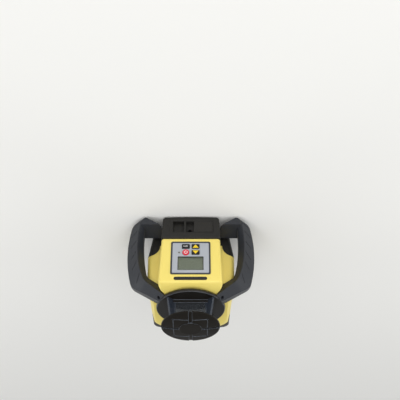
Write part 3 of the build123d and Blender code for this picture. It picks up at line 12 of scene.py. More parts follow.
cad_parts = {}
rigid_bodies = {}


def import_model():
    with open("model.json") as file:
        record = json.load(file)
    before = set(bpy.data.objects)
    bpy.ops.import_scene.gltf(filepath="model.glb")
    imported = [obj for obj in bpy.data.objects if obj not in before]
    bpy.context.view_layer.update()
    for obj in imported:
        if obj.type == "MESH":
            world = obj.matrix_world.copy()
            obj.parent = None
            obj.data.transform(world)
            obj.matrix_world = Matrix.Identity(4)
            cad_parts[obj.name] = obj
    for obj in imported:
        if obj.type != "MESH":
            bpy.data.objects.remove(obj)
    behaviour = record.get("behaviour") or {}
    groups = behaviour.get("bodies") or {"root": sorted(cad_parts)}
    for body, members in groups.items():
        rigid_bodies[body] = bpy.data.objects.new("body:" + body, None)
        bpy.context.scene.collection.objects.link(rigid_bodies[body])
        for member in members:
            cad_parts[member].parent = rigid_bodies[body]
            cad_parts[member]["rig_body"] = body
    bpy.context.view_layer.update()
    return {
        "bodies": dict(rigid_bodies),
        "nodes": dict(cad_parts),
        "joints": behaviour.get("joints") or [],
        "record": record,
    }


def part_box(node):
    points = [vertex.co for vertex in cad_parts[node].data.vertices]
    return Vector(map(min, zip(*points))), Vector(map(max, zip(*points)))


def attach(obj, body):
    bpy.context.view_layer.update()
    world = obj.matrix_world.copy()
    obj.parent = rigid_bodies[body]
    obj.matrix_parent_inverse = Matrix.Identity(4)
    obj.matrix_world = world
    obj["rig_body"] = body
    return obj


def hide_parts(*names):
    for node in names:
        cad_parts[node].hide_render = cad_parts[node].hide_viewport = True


LOG = logging.getLogger("rotary_laser")
MM = 0.001
# Points closer than WELD_M become one; places closer than LEVEL_M count as level with each other
WELD_M = 1e-7
LEVEL_M = 1e-6
# Edges of a finished piece that turn further than this stay sharp
SHARP_DEG = 40.0
# Rays that the shader takes to round an edge's normal
EDGE_SAMPLES = 6
# Sockets of the mix node that take the two colours and give the mixed one
MIX_FIRST = 6
MIX_SECOND = 7
MIX_RESULT = 2

Point = tuple[float, float]
Socket = bpy.types.NodeSocket
Tree = bpy.types.NodeTree


def linear(code: str) -> tuple[float, float, float, float]:
    """Turn an sRGB hex colour into linear light.

    Args:
        code: colour such as "#F2D34B".

    Returns:
        Linear red, green, blue and an alpha of 1.
    """
    parts = [int(code[i : i + 2], 16) / 255 for i in (1, 3, 5)]
    light = [p / 12.92 if p <= 0.04045 else ((p + 0.055) / 1.055) ** 2.4 for p in parts]
    return (*light, 1.0)


def per_mm(size_mm: float) -> float:
    """Texture scale whose features are about size_mm wide."""
    return 1.0 / (size_mm * MM)


def add_node(
    tree: Tree, kind: str, inputs: dict[str | int, object] | None = None, **settings: object
) -> bpy.types.Node:
    """Add one shader node, set it up and link it.

    Args:
        tree: node tree that takes the node.
        kind: Blender's name of the node type.
        inputs: input name or index to a value, or to an output socket to link.
        settings: attributes of the node itself.

    Returns:
        The new node.
    """
    node = tree.nodes.new(kind)
    for name, value in settings.items():
        setattr(node, name, value)
    for name, value in (inputs or {}).items():
        if isinstance(value, Socket):
            tree.links.new(value, node.inputs[name])
        else:
            node.inputs[name].default_value = value
    return node


def new_material(name: str) -> tuple[bpy.types.Material, Tree, Socket]:
    """Start an empty node material.

    Args:
        name: name of the material.

    Returns:
        The material, its node tree and the Object coordinate socket.
    """
    material = bpy.data.materials.new(name)
    material.use_nodes = True
    material.node_tree.nodes.clear()
    place = add_node(material.node_tree, "ShaderNodeTexCoord")
    return material, material.node_tree, place.outputs["Object"]


@dataclass(frozen=True)
class MouldedFinish:
    """Moulded plastic or rubber: spark-eroded grain, and a slight drift of tone and gloss."""

    name: str
    colour: str
    shade: str
    roughness: float
    # Real grain is finer than this; it is drawn coarser so that it shows
    grain_mm: float = 0.9
    grain_depth_mm: float = 0.02
    grain_roughness: float = 0.6
    grain_strength: float = 0.5
    drift_mm: float = 45.0
    drift_detail: float = 3.0
    # The drift's middle range, over which the gloss changes by gloss_drift to each side
    drift_low: float = 0.3
    drift_high: float = 0.7
    gloss_drift: float = 0.05
    specular: float = 0.5
    sheen: float = 0.0
    sheen_roughness: float = 0.4
    edge_mm: float = 0.3
    # Colour painted along sharp edges: a pale one is a painted highlight, a dark one painted shade
    painted_edge_colour: str | None = None
    # Cosines of the turn at which the painted edge colour starts and is full
    tint_start: float = 0.99
    tint_full: float = 0.8

    def material(self) -> bpy.types.Material:
        """Build the node material.

        Returns:
            The material.
        """
        material, tree, place = new_material(self.name)
        drift = add_node(
            tree,
            "ShaderNodeTexNoise",
            {"Vector": place, "Scale": per_mm(self.drift_mm), "Detail": self.drift_detail},
        )
        tone = add_node(
            tree,
            "ShaderNodeMix",
            {"Factor": drift.outputs["Fac"], MIX_FIRST: linear(self.colour), MIX_SECOND: linear(self.shade)},
            data_type="RGBA",
        )
        gloss = add_node(
            tree,
            "ShaderNodeMapRange",
            {
                "Value": drift.outputs["Fac"],
                "From Min": self.drift_low,
                "From Max": self.drift_high,
                "To Min": self.roughness - self.gloss_drift,
                "To Max": self.roughness + self.gloss_drift,
            },
        )
        grain = add_node(
            tree,
            "ShaderNodeTexNoise",
            {"Vector": place, "Scale": per_mm(self.grain_mm), "Roughness": self.grain_roughness},
        )
        edge = add_node(tree, "ShaderNodeBevel", {"Radius": self.edge_mm * MM}, samples=EDGE_SAMPLES)
        # Paint the edge colour in: a painted highlight where it is pale, painted shade where it is dark
        if self.painted_edge_colour:
            tone = self.paint_edge_light_and_shade(tree, tone, edge)
        bump = add_node(
            tree,
            "ShaderNodeBump",
            {
                "Height": grain.outputs["Fac"],
                "Strength": self.grain_strength,
                "Distance": self.grain_depth_mm * MM,
                "Normal": edge.outputs["Normal"],
            },
        )
        shader = add_node(
            tree,
            "ShaderNodeBsdfPrincipled",
            {
                "Base Color": tone.outputs[MIX_RESULT],
                "Roughness": gloss.outputs["Result"],
                "Specular IOR Level": self.specular,
                "Normal": bump.outputs["Normal"],
                "Sheen Weight": self.sheen,
                "Sheen Roughness": self.sheen_roughness,
            },
        )
        add_node(tree, "ShaderNodeOutputMaterial", {"Surface": shader.outputs[0]})
        return material

    def paint_edge_light_and_shade(self, tree: Tree, tone: bpy.types.Node, edge: bpy.types.Node) -> bpy.types.Node:
        """Paint a colour along sharp edges: a pale one as a painted highlight, a dark one as painted shade.

        Args:
            tree: node tree of the material.
            tone: node that mixes the plain colour.
            edge: node that gives the rounded normal.

        Returns:
            The node that mixes the changed colour.
        """
        flat = add_node(tree, "ShaderNodeNewGeometry")
        turn = add_node(
            tree,
            "ShaderNodeVectorMath",
            {0: flat.outputs["Normal"], 1: edge.outputs["Normal"]},
            operation="DOT_PRODUCT",
        )
        # Mask of the painted edge colour: full where the rounded normal turns far from the true one
        painted_edge_mask = add_node(
            tree,
            "ShaderNodeMapRange",
            {
                "Value": turn.outputs["Value"],
                "From Min": self.tint_start,
                "From Max": self.tint_full,
                "To Min": 0.0,
                "To Max": 1.0,
            },
        )
        return add_node(
            tree,
            "ShaderNodeMix",
            {
                "Factor": painted_edge_mask.outputs["Result"],
                MIX_FIRST: tone.outputs[MIX_RESULT],
                MIX_SECOND: linear(self.painted_edge_colour),
            },
            data_type="RGBA",
        )


class MetalWork(Enum):
    """How a metal surface was made: the stretch of its tool marks along X, Y and Z."""

    TURNED = (1.0, 1.0, 9.0)
    BLASTED = (1.0, 1.0, 1.0)


@dataclass(frozen=True)
class MetalFinish:
    """Machined or blasted metal: fine marks that run as its tool left them, and uneven gloss."""

    name: str
    colour: str
    roughness: float
    work: MetalWork
    # Real tool marks are finer than this; they are drawn coarser so that they show
    mark_mm: float = 1.5
    mark_depth_mm: float = 0.008
    mark_strength: float = 0.4
    mark_detail: float = 3.0
    # The gloss changes over the marks from this much smoother to this much rougher
    smoother: float = 0.08
    rougher: float = 0.1
    edge_mm: float = 0.3

    def material(self) -> bpy.types.Material:
        """Build the node material.

        Returns:
            The material.
        """
        material, tree, place = new_material(self.name)
        stretched = add_node(tree, "ShaderNodeMapping", {"Vector": place, "Scale": self.work.value})
        marks = add_node(
            tree,
            "ShaderNodeTexNoise",
            {"Vector": stretched.outputs[0], "Scale": per_mm(self.mark_mm), "Detail": self.mark_detail},
        )
        gloss = add_node(
            tree,
            "ShaderNodeMapRange",
            {
                "Value": marks.outputs["Fac"],
                "To Min": self.roughness - self.smoother,
                "To Max": self.roughness + self.rougher,
            },
        )
        edge = add_node(tree, "ShaderNodeBevel", {"Radius": self.edge_mm * MM}, samples=EDGE_SAMPLES)
        bump = add_node(
            tree,
            "ShaderNodeBump",
            {
                "Height": marks.outputs["Fac"],
                "Strength": self.mark_strength,
                "Distance": self.mark_depth_mm * MM,
                "Normal": edge.outputs["Normal"],
            },
        )
        shader = add_node(
            tree,
            "ShaderNodeBsdfPrincipled",
            {
                "Base Color": linear(self.colour),
                "Metallic": 1.0,
                "Roughness": gloss.outputs["Result"],
                "Normal": bump.outputs["Normal"],
            },
        )
        add_node(tree, "ShaderNodeOutputMaterial", {"Surface": shader.outputs[0]})
        return material


@dataclass(frozen=True)
class PaneFinish:
    """Thin flat glass: clear straight on, mirror-like at a low angle, with a faint tint and wiped haze."""

    name: str
    tint: str
    ior: float = 1.5
    roughness: float = 0.02
    # The wiped haze is this wide, and this many times as rough where it is thickest
    haze_mm: float = 25.0
    haze_rise: float = 4.0
    dust: float = 0.0
    dust_colour: str = "#9AA0A8"

    def material(self) -> bpy.types.Material:
        """Build the node material.

        Returns:
            The material.
        """
        material, tree, place = new_material(self.name)
        haze = add_node(tree, "ShaderNodeTexNoise", {"Vector": place, "Scale": per_mm(self.haze_mm)})
        film = add_node(
            tree,
            "ShaderNodeMapRange",
            {
                "Value": haze.outputs["Fac"],
                "To Min": self.roughness,
                "To Max": self.roughness * self.haze_rise,
            },
        )
        clear = add_node(tree, "ShaderNodeBsdfTransparent", {"Color": linear(self.tint)})
        matt = add_node(tree, "ShaderNodeBsdfDiffuse", {"Color": linear(self.dust_colour)})
        pane = add_node(tree, "ShaderNodeMixShader", {0: self.dust, 1: clear.outputs[0], 2: matt.outputs[0]})
        shine = add_node(tree, "ShaderNodeBsdfGlossy", {"Roughness": film.outputs["Result"]})
        slant = add_node(tree, "ShaderNodeFresnel", {"IOR": self.ior})
        shader = add_node(
            tree,
            "ShaderNodeMixShader",
            {0: slant.outputs[0], 1: pane.outputs[0], 2: shine.outputs[0]},
        )
        add_node(tree, "ShaderNodeOutputMaterial", {"Surface": shader.outputs[0]})
        return material


@dataclass(frozen=True)
class OpticFinish:
    """Solid polished optical glass that bends what is seen through it."""

    name: str
    colour: str
    ior: float = 1.52
    haze_mm: float = 8.0
    haze_roughness: float = 0.03

    def material(self) -> bpy.types.Material:
        """Build the node material.

        Returns:
            The material.
        """
        material, tree, place = new_material(self.name)
        haze = add_node(tree, "ShaderNodeTexNoise", {"Vector": place, "Scale": per_mm(self.haze_mm)})
        film = add_node(
            tree,
            "ShaderNodeMapRange",
            {"Value": haze.outputs["Fac"], "To Min": 0.0, "To Max": self.haze_roughness},
        )
        shader = add_node(
            tree,
            "ShaderNodeBsdfPrincipled",
            {
                "Base Color": linear(self.colour),
                "Roughness": film.outputs["Result"],
                "IOR": self.ior,
                "Transmission Weight": 1.0,
            },
        )
        add_node(tree, "ShaderNodeOutputMaterial", {"Surface": shader.outputs[0]})
        return material


Finish = MouldedFinish | MetalFinish | PaneFinish | OpticFinish

FINISHES: dict[str, Finish] = {
    # Pale warm yellow, satin: broad soft highlights along the bends
    "yellow_shell": MouldedFinish("abs_yellow_satin", "#F0DC78", "#ECD66D", 0.4, specular=0.4),
    # Near-black with a warm cast, a dull sheen on the flats
    "black_shell": MouldedFinish("abs_black_satin", "#211F1C", "#1B1A18", 0.48, specular=0.35),
    # Cool black rubber that greys softly where it turns from the eye, with painted shade along its sharp
    # edges
    "grip": MouldedFinish(
        "tpe_soft_black", "#24272E", "#1E2127", 0.4, 0.7, 0.015,
        sheen=0.05, edge_mm=0.7, painted_edge_colour="#040404",
    ),
    # Deep warm black, smooth but with little shine, and a fine painted highlight along its edges
    "head_black": MouldedFinish(
        "pc_black_satin", "#1A1610", "#15120D", 0.34, 0.7, 0.006,
        specular=0.12, edge_mm=0.6, painted_edge_colour="#8A93A0",
    ),
    # The same black rubbed shiny by hands, with a painted highlight along its rim and edges
    "flange": MouldedFinish(
        "pc_black_glossy_painted_highlight", "#1A1712", "#16130E", 0.3, 0.7, 0.006,
        specular=0.4, edge_mm=1.5, painted_edge_colour="#8A93A0",
    ),
    # Blue-black enamel, smooth, with clear painted highlights along its edges
    "post": MouldedFinish(
        "enamel_slate", "#2E343E", "#292F39", 0.28, 0.6, 0.004,
        edge_mm=0.6, painted_edge_colour="#8A93A0",
    ),
    # Smoky clear pane with a slight cool tint and a breath of dust
    "window": PaneFinish("float_glass", "#98A1A8", dust=0.09),
    # Slate frame, satin
    "panel_frame": MouldedFinish("abs_slate_frame", "#3A3D44", "#34373E", 0.42, specular=0.4),
    # Even light grey printed film
    "overlay": MouldedFinish("polyester_film_grey", "#AAAEB5", "#A5A9B0", 0.42, 0.5, 0.005),
    # Colourless cover glass
    "display_glass": PaneFinish("display_cover_glass", "#F4F7F3", ior=1.4),
    # Grey-green unlit display
    "display": MouldedFinish("lcd_reflector_film", "#9C9E93", "#95988C", 0.5, 0.4, 0.003),
    # Matt black rubber keys
    "key_black": MouldedFinish("silicone_black", "#151516", "#121213", 0.5, specular=0.35),
    # Clear signal red
    "key_red": MouldedFinish("silicone_red", "#D8213B", "#CF1D36", 0.45),
    # Dull smoky lens
    "lamp": MouldedFinish("pc_smoky", "#6E6A5C", "#646052", 0.2, 0.5, 0.003),
    # Glossy plain black
    "badge": MouldedFinish("acrylic_black_gloss", "#161514", "#121110", 0.25, 0.6, 0.003),
    # Deep green lacquer with a soft shine
    "board": MouldedFinish("solder_mask_green", "#1F6B3C", "#185A31", 0.4),
    # Bright neutral grey with fine marks of the lathe
    "steel": MetalFinish("turned_steel", "#B9BABC", 0.32, MetalWork.TURNED),
    # Near-black metal with an even, dull glint
    "black_steel": MetalFinish("blackened_steel", "#242425", 0.42, MetalWork.BLASTED),
    # Pale silver with fine marks of the lathe
    "alloy": MetalFinish("machined_aluminium", "#C4C6C8", 0.34, MetalWork.TURNED),
    # Mid grey metal, even and dull
    "plate_alloy": MetalFinish("anodised_aluminium", "#6A6C6E", 0.42, MetalWork.BLASTED),
    # Warm gold with fine marks of the lathe
    "brass": MetalFinish("turned_brass", "#C9A24E", 0.3, MetalWork.TURNED),
    # Black with hardly any shine
    "seal": MouldedFinish("epdm_foam", "#161616", "#131313", 0.65),
    # Dead matt black
    "pad": MouldedFinish("nitrile_rubber", "#1A1A1A", "#161616", 0.7),
    # Mid blue shrunk sleeve with a soft shine
    "cell": MouldedFinish("pvc_sleeve_blue", "#2F5590", "#2A4E86", 0.35),
    # Neutral black, satin
    "case": MouldedFinish("abs_black_neutral", "#222223", "#1D1D1E", 0.5),
    # Warm black, a little paler than the door round it
    "slider": MouldedFinish("abs_black_worn", "#24221F", "#1F1D1B", 0.46, specular=0.35),
    # Red-brown lacquered wire with a soft glint
    "winding": MetalFinish("enamelled_copper", "#A8612F", 0.35, MetalWork.TURNED),
    # Darker grey plating, fairly shiny
    "magnet": MetalFinish("nickel_plating", "#7C7D80", 0.3, MetalWork.TURNED),
    # Colourless, mirror-smooth, bends what lies behind it
    "optic": OpticFinish("optical_glass", "#F2F6F7"),
    # Strong warm yellow print, flat and even
    "ink_yellow": MouldedFinish("printed_ink_yellow", "#F2CE1B", "#EDC817", 0.5, 0.5, 0.002),
    # White print, flat and even
    "ink_white": MouldedFinish("printed_ink_white", "#F4F4F2", "#EEEEEC", 0.5, 0.5, 0.002),
    # Mid grey print, flat and even
    "ink_grey": MouldedFinish("printed_ink_grey", "#84837C", "#7E7D76", 0.5, 0.5, 0.002),
}

# Solids that wear another finish than their slot's own
OWN_FINISHES: dict[str, str] = {"head_base": "flange"}

# Width in millimetres that each solid's sharp outer edges are rounded over by in its shown copy
ROUNDINGS: dict[str, float] = {
    "front_housing": 0.5,
    "rear_cover": 0.5,
    "base_housing": 0.5,
    "base_plate": 0.4,
    "right_handle": 0.25,
    "left_handle": 0.25,
    "head_base": 0.25,
    "head_posts": 0.3,
    "head_cover": 0.25,
    "panel_bezel": 0.25,
    "panel_overlay": 0.12,
    "badge_plate": 0.25,
    "battery_door": 0.35,
    "lock_slider": 0.3,
    "charge_jack": 0.2,
    "battery_case": 0.4,
    "handle_screws": 0.2,
    "cover_screws": 0.2,
    "housing_screws": 0.2,
    "lcd_module": 0.2,
    "gimbal_yoke": 0.4,
    "gimbal_ring": 0.4,
    "levelling_tube": 0.4,
    "rotor_housing": 0.3,
    "x_actuator": 0.3,
    "y_actuator": 0.3,
}


class Palette:
    """Materials of the finishes, each made once."""

    def __init__(self) -> None:
        """Start with no materials."""
        self.made: dict[str, bpy.types.Material] = {}

    def get(self, finish: str) -> bpy.types.Material:
        """Give the material of a finish.

        Args:
            finish: name of the finish.

        Returns:
            Its material, made on first use.
        """
        if finish not in self.made:
            self.made[finish] = FINISHES[finish].material()
        return self.made[finish]

    def dress(self, piece: bpy.types.Object, finish: str) -> None:
        """Give a piece one material."""
        piece.data.materials.clear()
        piece.data.materials.append(self.get(finish))


def finished_piece(
    name: str,
    mesh: bmesh.types.BMesh,
    body: str,
    slot: str,
    palette: Palette,
    finish: str | None = None,
) -> bpy.types.Object:
    """Turn a bmesh into a dressed piece that rides on a body.

    Args:
        name: name of the piece.
        mesh: shape in the row frame, in metres; it is freed here.
        body: body that carries the piece.
        slot: record slot the piece belongs to.
        palette: materials.
        finish: finish to wear, where it is not the slot's own.

    Returns:
        The new object.
    """
    bmesh.ops.remove_doubles(mesh, verts=mesh.verts, dist=WELD_M)
    bmesh.ops.recalc_face_normals(mesh, faces=mesh.faces)
    limit = math.radians(SHARP_DEG)
    for edge in mesh.edges:
        edge.smooth = len(edge.link_faces) != 2 or edge.calc_face_angle() < limit
    for face in mesh.faces:
        face.smooth = True
    data = bpy.data.meshes.new(name)
    mesh.to_mesh(data)
    mesh.free()
    # Corner normals that came with a copied solid no longer fit the changed mesh
    stale = data.attributes.get("custom_normal")
    if stale:
        data.attributes.remove(stale)
    piece = bpy.data.objects.new(name, data)
    bpy.context.scene.collection.objects.link(piece)
    palette.dress(piece, finish or slot)
    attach(piece, body)
    LOG.info("%s rides on %s, %d faces", name, body, len(data.polygons))
    return piece


def bevel_edges(
    mesh: bmesh.types.BMesh, edges: list, width: float, segments: int = 2, clamp: bool = False
) -> list[bmesh.types.BMFace]:
    """Round edges over.

    Args:
        mesh: shape that is changed.
        edges: its edges to round.
        width: width of the rounding to each side, in metres.
        segments: faces across the rounding.
        clamp: True to narrow it where neighbours would overlap.

    Returns:
        The faces of the rounding.
    """
    done = bmesh.ops.bevel(
        mesh,
        geom=edges,
        offset=width,
        offset_type="OFFSET",
        segments=segments,
        profile=0.5,
        affect="EDGES",
        clamp_overlap=clamp,
        material=-1,
    )
    return done["faces"]


@dataclass
class Solids:
    """The frame's own solids: each gets its finish, and many a copy with rounded edges."""

    frame: dict
    palette: Palette
    # Points of a copy closer than merge_m become one, and faces flatter than flat_deg are joined
    merge_m: float = 1e-6
    flat_deg: float = 0.2
    # Outer edges that turn further than this are rounded over
    sharp_deg: float = 32.0
    segments: int = 2
    # A chain is rounded only where at least this share of the wanted width fits
    least_share: float = 0.5
    # Edge layer that holds the number of each edge's chain
    layer: str = "chain"
    # The round flange of the head is rounded over further, where it reaches this share of its radius
    rim_node: str = "head_base"
    rim_mm: float = 1.4
    rim_share: float = 0.97

    def build(self) -> None:
        """Dress every solid and add the rounded copies."""
        for row in self.frame["record"]["subparts"]:
            node, slot = row["node"], row["material_slot"]
            finish = OWN_FINISHES.get(node, slot)
            self.palette.dress(self.frame["nodes"][node], finish)
            LOG.info("%s dressed as %s", node, finish)
            if node in ROUNDINGS:
                self.rounded(node, slot, finish)

    def rounded(self, node: str, slot: str, finish: str) -> None:
        """Show a copy of a solid whose sharp outer edges are rounded over.

        Args:
            node: the solid.
            slot: its record slot.
            finish: the finish it wears.
        """
        source = self.frame["nodes"][node]
        flat = math.radians(self.flat_deg)
        mesh = bmesh.new()
        mesh.from_mesh(source.data)
        bmesh.ops.remove_doubles(mesh, verts=mesh.verts, dist=self.merge_m)
        bmesh.ops.dissolve_limit(mesh, angle_limit=flat, verts=mesh.verts, edges=mesh.edges)
        for chain in range(1, self.mark_chains(mesh) + 1):
            on_rim = node == self.rim_node and self.on_rim(mesh, chain)
            width_mm = self.rim_mm if on_rim else ROUNDINGS[node]
            mesh = self.round_chain(mesh, chain, width_mm * MM)
        piece = finished_piece(node + "_shown", mesh, source["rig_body"], slot, self.palette, finish)
        even = piece.modifiers.new("even_normals", "WEIGHTED_NORMAL")
        even.keep_sharp = True
        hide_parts(node)

    def mark_chains(self, mesh: bmesh.types.BMesh) -> int:
        """Number the connected chains of sharp outer edges in an edge layer.

        Args:
            mesh: the copy.

        Returns:
            How many chains there are; their numbers start at 1.
        """
        layer = mesh.edges.layers.int.new(self.layer)
        limit = math.radians(self.sharp_deg)
        for edge in mesh.edges:
            edge.tag = edge.is_convex and edge.calc_face_angle() > limit
        count = 0
        for first in mesh.edges:
            if not first.tag:
                continue
            count += 1
            first.tag = False
            chain = [first]
            while chain:
                edge = chain.pop()
                edge[layer] = count
                for near in (other for vert in edge.verts for other in vert.link_edges):
                    if near.tag:
                        near.tag = False
                        chain.append(near)
        return count

    def on_rim(self, mesh: bmesh.types.BMesh, chain: int) -> bool:
        """Tell whether a chain runs round the outer rim of a solid that is round about Z.

        Args:
            mesh: the copy so far.
            chain: number of the chain.

        Returns:
            True where all its points lie on the rim.
        """
        layer = mesh.edges.layers.int[self.layer]
        reach = max(vert.co.xy.length for vert in mesh.verts)
        edges = [edge for edge in mesh.edges if edge[layer] == chain]
        return all(vert.co.xy.length > self.rim_share * reach for edge in edges for vert in edge.verts)

    def round_chain(self, mesh: bmesh.types.BMesh, chain: int, width: float) -> bmesh.types.BMesh:
        """Round one chain of edges over, or leave it sharp where its neighbours are too close.

        Args:
            mesh: the copy so far; it is freed where a new one takes its place.
            chain: number of the chain.
            width: width of the rounding in metres.

        Returns:
            The mesh to go on with.
        """
        trial = mesh.copy()
        layer = trial.edges.layers.int[self.layer]
        edges = [edge for edge in trial.edges if edge[layer] == chain]
        faces = bevel_edges(trial, edges, width, self.segments, clamp=True)
        strips = sorted(face.calc_area() / max(edge.calc_length() for edge in face.edges) for face in faces)
        if strips and strips[len(strips) // 2] * self.segments > self.least_share * width:
            mesh.free()
            return trial
        trial.free()
        return mesh


def slab(mesh: bmesh.types.BMesh, front: float, back: float) -> bmesh.types.BMesh:
    """Make the flat faces of a mesh thick along Y.

    Args:
        mesh: faces that all lie at the back.
        front: Y of the front face.
        back: Y of the back face.

    Returns:
        The same mesh, now closed.
    """
    grown = bmesh.ops.extrude_face_region(mesh, geom=list(mesh.faces))
    moved = [part for part in grown["geom"] if isinstance(part, bmesh.types.BMVert)]
    bmesh.ops.translate(mesh, verts=moved, vec=(0, front - back, 0))
    return mesh


def flat_shape(points: list[Point], front: float, back: float) -> bmesh.types.BMesh:
    """Plate with an outline across X and Z.

    Args:
        points: outline as (x, z) in metres.
        front: Y of its front face.
        back: Y of its back face.

    Returns:
        The plate's mesh.
    """
    mesh = bmesh.new()
    mesh.faces.new([mesh.verts.new((x, back, z)) for x, z in points])
    return slab(mesh, front, back)


def frame_shape(points: list[Point], width: float, front: float, back: float) -> bmesh.types.BMesh:
    """Closed frame whose opening follows its outline across X and Z.

    Args:
        points: outer outline as (x, z) in metres, counter-clockwise as seen from the front.
        width: width of the frame.
        front: Y of its front face.
        back: Y of its back face.

    Returns:
        The frame's mesh.
    """
    mesh = bmesh.new()
    inner = mesh.faces.new([mesh.verts.new((x, back, z)) for x, z in points])
    inner.normal_update()
    bmesh.ops.inset_region(mesh, faces=[inner], thickness=width, use_boundary=True, use_even_offset=True)
    bmesh.ops.delete(mesh, geom=[inner], context="FACES")
    return slab(mesh, front, back)


def arc(centre: Point, radius: float, start_deg: float, end_deg: float, steps: int) -> list[Point]:
    """Points of an arc in the X, Z plane.

    Args:
        centre: (x, z) of its centre.
        radius: its radius.
        start_deg: angle of the first point, from +X towards +Z.
        end_deg: angle of the last point.
        steps: number of spans.

    Returns:
        The points as (x, z).
    """
    turns = [math.radians(start_deg + (end_deg - start_deg) * i / steps) for i in range(steps + 1)]
    return [(centre[0] + radius * math.cos(t), centre[1] + radius * math.sin(t)) for t in turns]


def circle(centre: Point, radius: float, steps: int) -> list[Point]:
    """Points of a full circle in the X, Z plane, each once."""
    return arc(centre, radius, 0, 360, steps)[:-1]


def block(left: float, foot: float, right: float, top: float) -> list[Point]:
    """Corners of an upright rectangle in the X, Z plane, counter-clockwise as seen from the front."""
    return [(left, foot), (right, foot), (right, top), (left, top)]


def cylinder(width: float, depth: float, middle: Vector, axis: str, steps: int) -> bmesh.types.BMesh:
    """Closed round bar.

    Args:
        width: its diameter in metres.
        depth: its length in metres.
        middle: its middle.
        axis: "X" or "Y", the axis it lies along.
        steps: spans in the full turn.

    Returns:
        The bar's mesh.
    """
    about = "Y" if axis == "X" else "X"
    mesh = bmesh.new()
    bmesh.ops.create_cone(
        mesh,
        cap_ends=True,
        segments=steps,
        radius1=width / 2,
        radius2=width / 2,
        depth=depth,
        matrix=Matrix.Translation(middle) @ Matrix.Rotation(math.pi / 2, 4, about),
    )
    return mesh


def joined(meshes: list[bmesh.types.BMesh]) -> bmesh.types.BMesh:
    """Join several meshes into the first one.

    Args:
        meshes: the meshes; all but the first are freed.

    Returns:
        The first mesh with all the others in it.
    """
    first = meshes[0]
    for other in meshes[1:]:
        data = bpy.data.meshes.new("part")
        other.to_mesh(data)
        other.free()
        first.from_mesh(data)
        bpy.data.meshes.remove(data)
    return first


@dataclass
class KeyMarks:
    """Plain printed signs on the four panel keys, each riding on its key."""

    palette: Palette
    # How far the ink stands out of the key and reaches into it
    ink_mm: float = 0.08
    sunk_mm: float = 0.1
    arrow_width_mm: float = 11.6
    arrow_height_mm: float = 7.4
    ring_mm: float = 3.4
    stroke_mm: float = 1.0
    ring_open_deg: float = 70.0
    ring_steps: int = 40
    # Length of the bar in the ring's gap, and how far it reaches past the ring
    bar_mm: float = 2.7
    bar_past_mm: float = 0.4
    # Half the width of the beam sign, and the radius of its dot
    beam_mm: float = 3.6
    dot_mm: float = 0.9
    dot_steps: int = 24
    # Where the rays start and how far they fan out, as multiples of that radius
    ray_start: float = 1.5
    ray_fan: float = 1.6

    def build(self) -> None:
        """Make the four signs."""
        self.arrow("down_key", -1)
        self.arrow("up_key", 1)
        self.power()
        self.function()

    def centre(self, key: str) -> tuple[Vector, float, float]:
        """Middle of a key, and the depths between which its ink lies."""
        low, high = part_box(key)
        return (low + high) / 2, low.y - self.ink_mm * MM, low.y + self.sunk_mm * MM

    def arrow(self, key: str, way: int) -> None:
        """Solid triangle.

        Args:
            key: the key that carries it.
            way: 1 where it points up, -1 where it points down.
        """
        mid, front, back = self.centre(key)
        half = self.arrow_width_mm * MM / 2
        rise = self.arrow_height_mm * MM / 2 * way
        points = [(mid.x - half, mid.z - rise), (mid.x + half, mid.z - rise), (mid.x, mid.z + rise)]
        mesh = flat_shape(points, front, back)
        finished_piece(key + "_arrow", mesh, key, "yellow_shell", self.palette, "ink_yellow")

    def power(self) -> None:
        """Ring open at its foot, with a bar in its gap."""
        mid, front, back = self.centre("power_key")
        at = (mid.x, mid.z)
        inner, outer = (self.ring_mm - self.stroke_mm) * MM, self.ring_mm * MM
        start = -90 + self.ring_open_deg / 2
        end = 270 - self.ring_open_deg / 2
        ring = arc(at, outer, start, end, self.ring_steps) + arc(at, inner, end, start, self.ring_steps)
        half, far = self.stroke_mm * MM / 2, (self.ring_mm + self.bar_past_mm) * MM
        near = far - self.bar_mm * MM
        bar = block(mid.x - half, mid.z - far, mid.x + half, mid.z - near)
        mesh = joined([flat_shape(ring, front, back), flat_shape(bar, front, back)])
        finished_piece("power_key_sign", mesh, "power_key", "overlay", self.palette, "ink_white")

    def function(self) -> None:
        """Dot with a beam of three rays that fan out of it."""
        mid, front, back = self.centre("function_key")
        dot_x, far = mid.x + self.beam_mm * MM, mid.x - self.beam_mm * MM
        dot = circle((dot_x, mid.z), self.dot_mm * MM, self.dot_steps)
        near = dot_x - self.dot_mm * self.ray_start * MM
        thin = self.stroke_mm * MM / 4
        shapes = [flat_shape(dot, front, back)]
        for tilt in (-1, 0, 1):
            lift = tilt * self.dot_mm * self.ray_fan * MM
            ray = [
                (near, mid.z + lift / 4 - thin / 2),
                (near, mid.z + lift / 4 + thin / 2),
                (far, mid.z + lift + thin),
                (far, mid.z + lift - thin),
            ]
            shapes.append(flat_shape(ray, front, back))
        mesh = joined(shapes)
        finished_piece("function_key_sign", mesh, "function_key", "overlay", self.palette, "ink_white")


@dataclass
class DisplayLipShade:
    """Thin black foam lip that lines the display's opening down to its glass; its black also paints the
    shade along the edge of the recess.
    """

    palette: Palette
    width_mm: float = 0.6
    # How far it reaches past the glass's edge, and how far it lies below the overlay's face
    past_mm: float = 0.05
    below_mm: float = 0.2

    def build(self) -> None:
        """Make the lip as one closed frame."""
        low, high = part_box("lcd_window")
        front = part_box("panel_overlay")[0].y + self.below_mm * MM
        past = self.past_mm * MM
        outline = block(low.x - past, low.z - past, high.x + past, high.z + past)
        mesh = frame_shape(outline, self.width_mm * MM, front, low.y)
        # The lip's black stands in for the shade at the edge of the display's recess
        finished_piece("lcd_window_lip_shade", mesh, "body", "seal", self.palette)


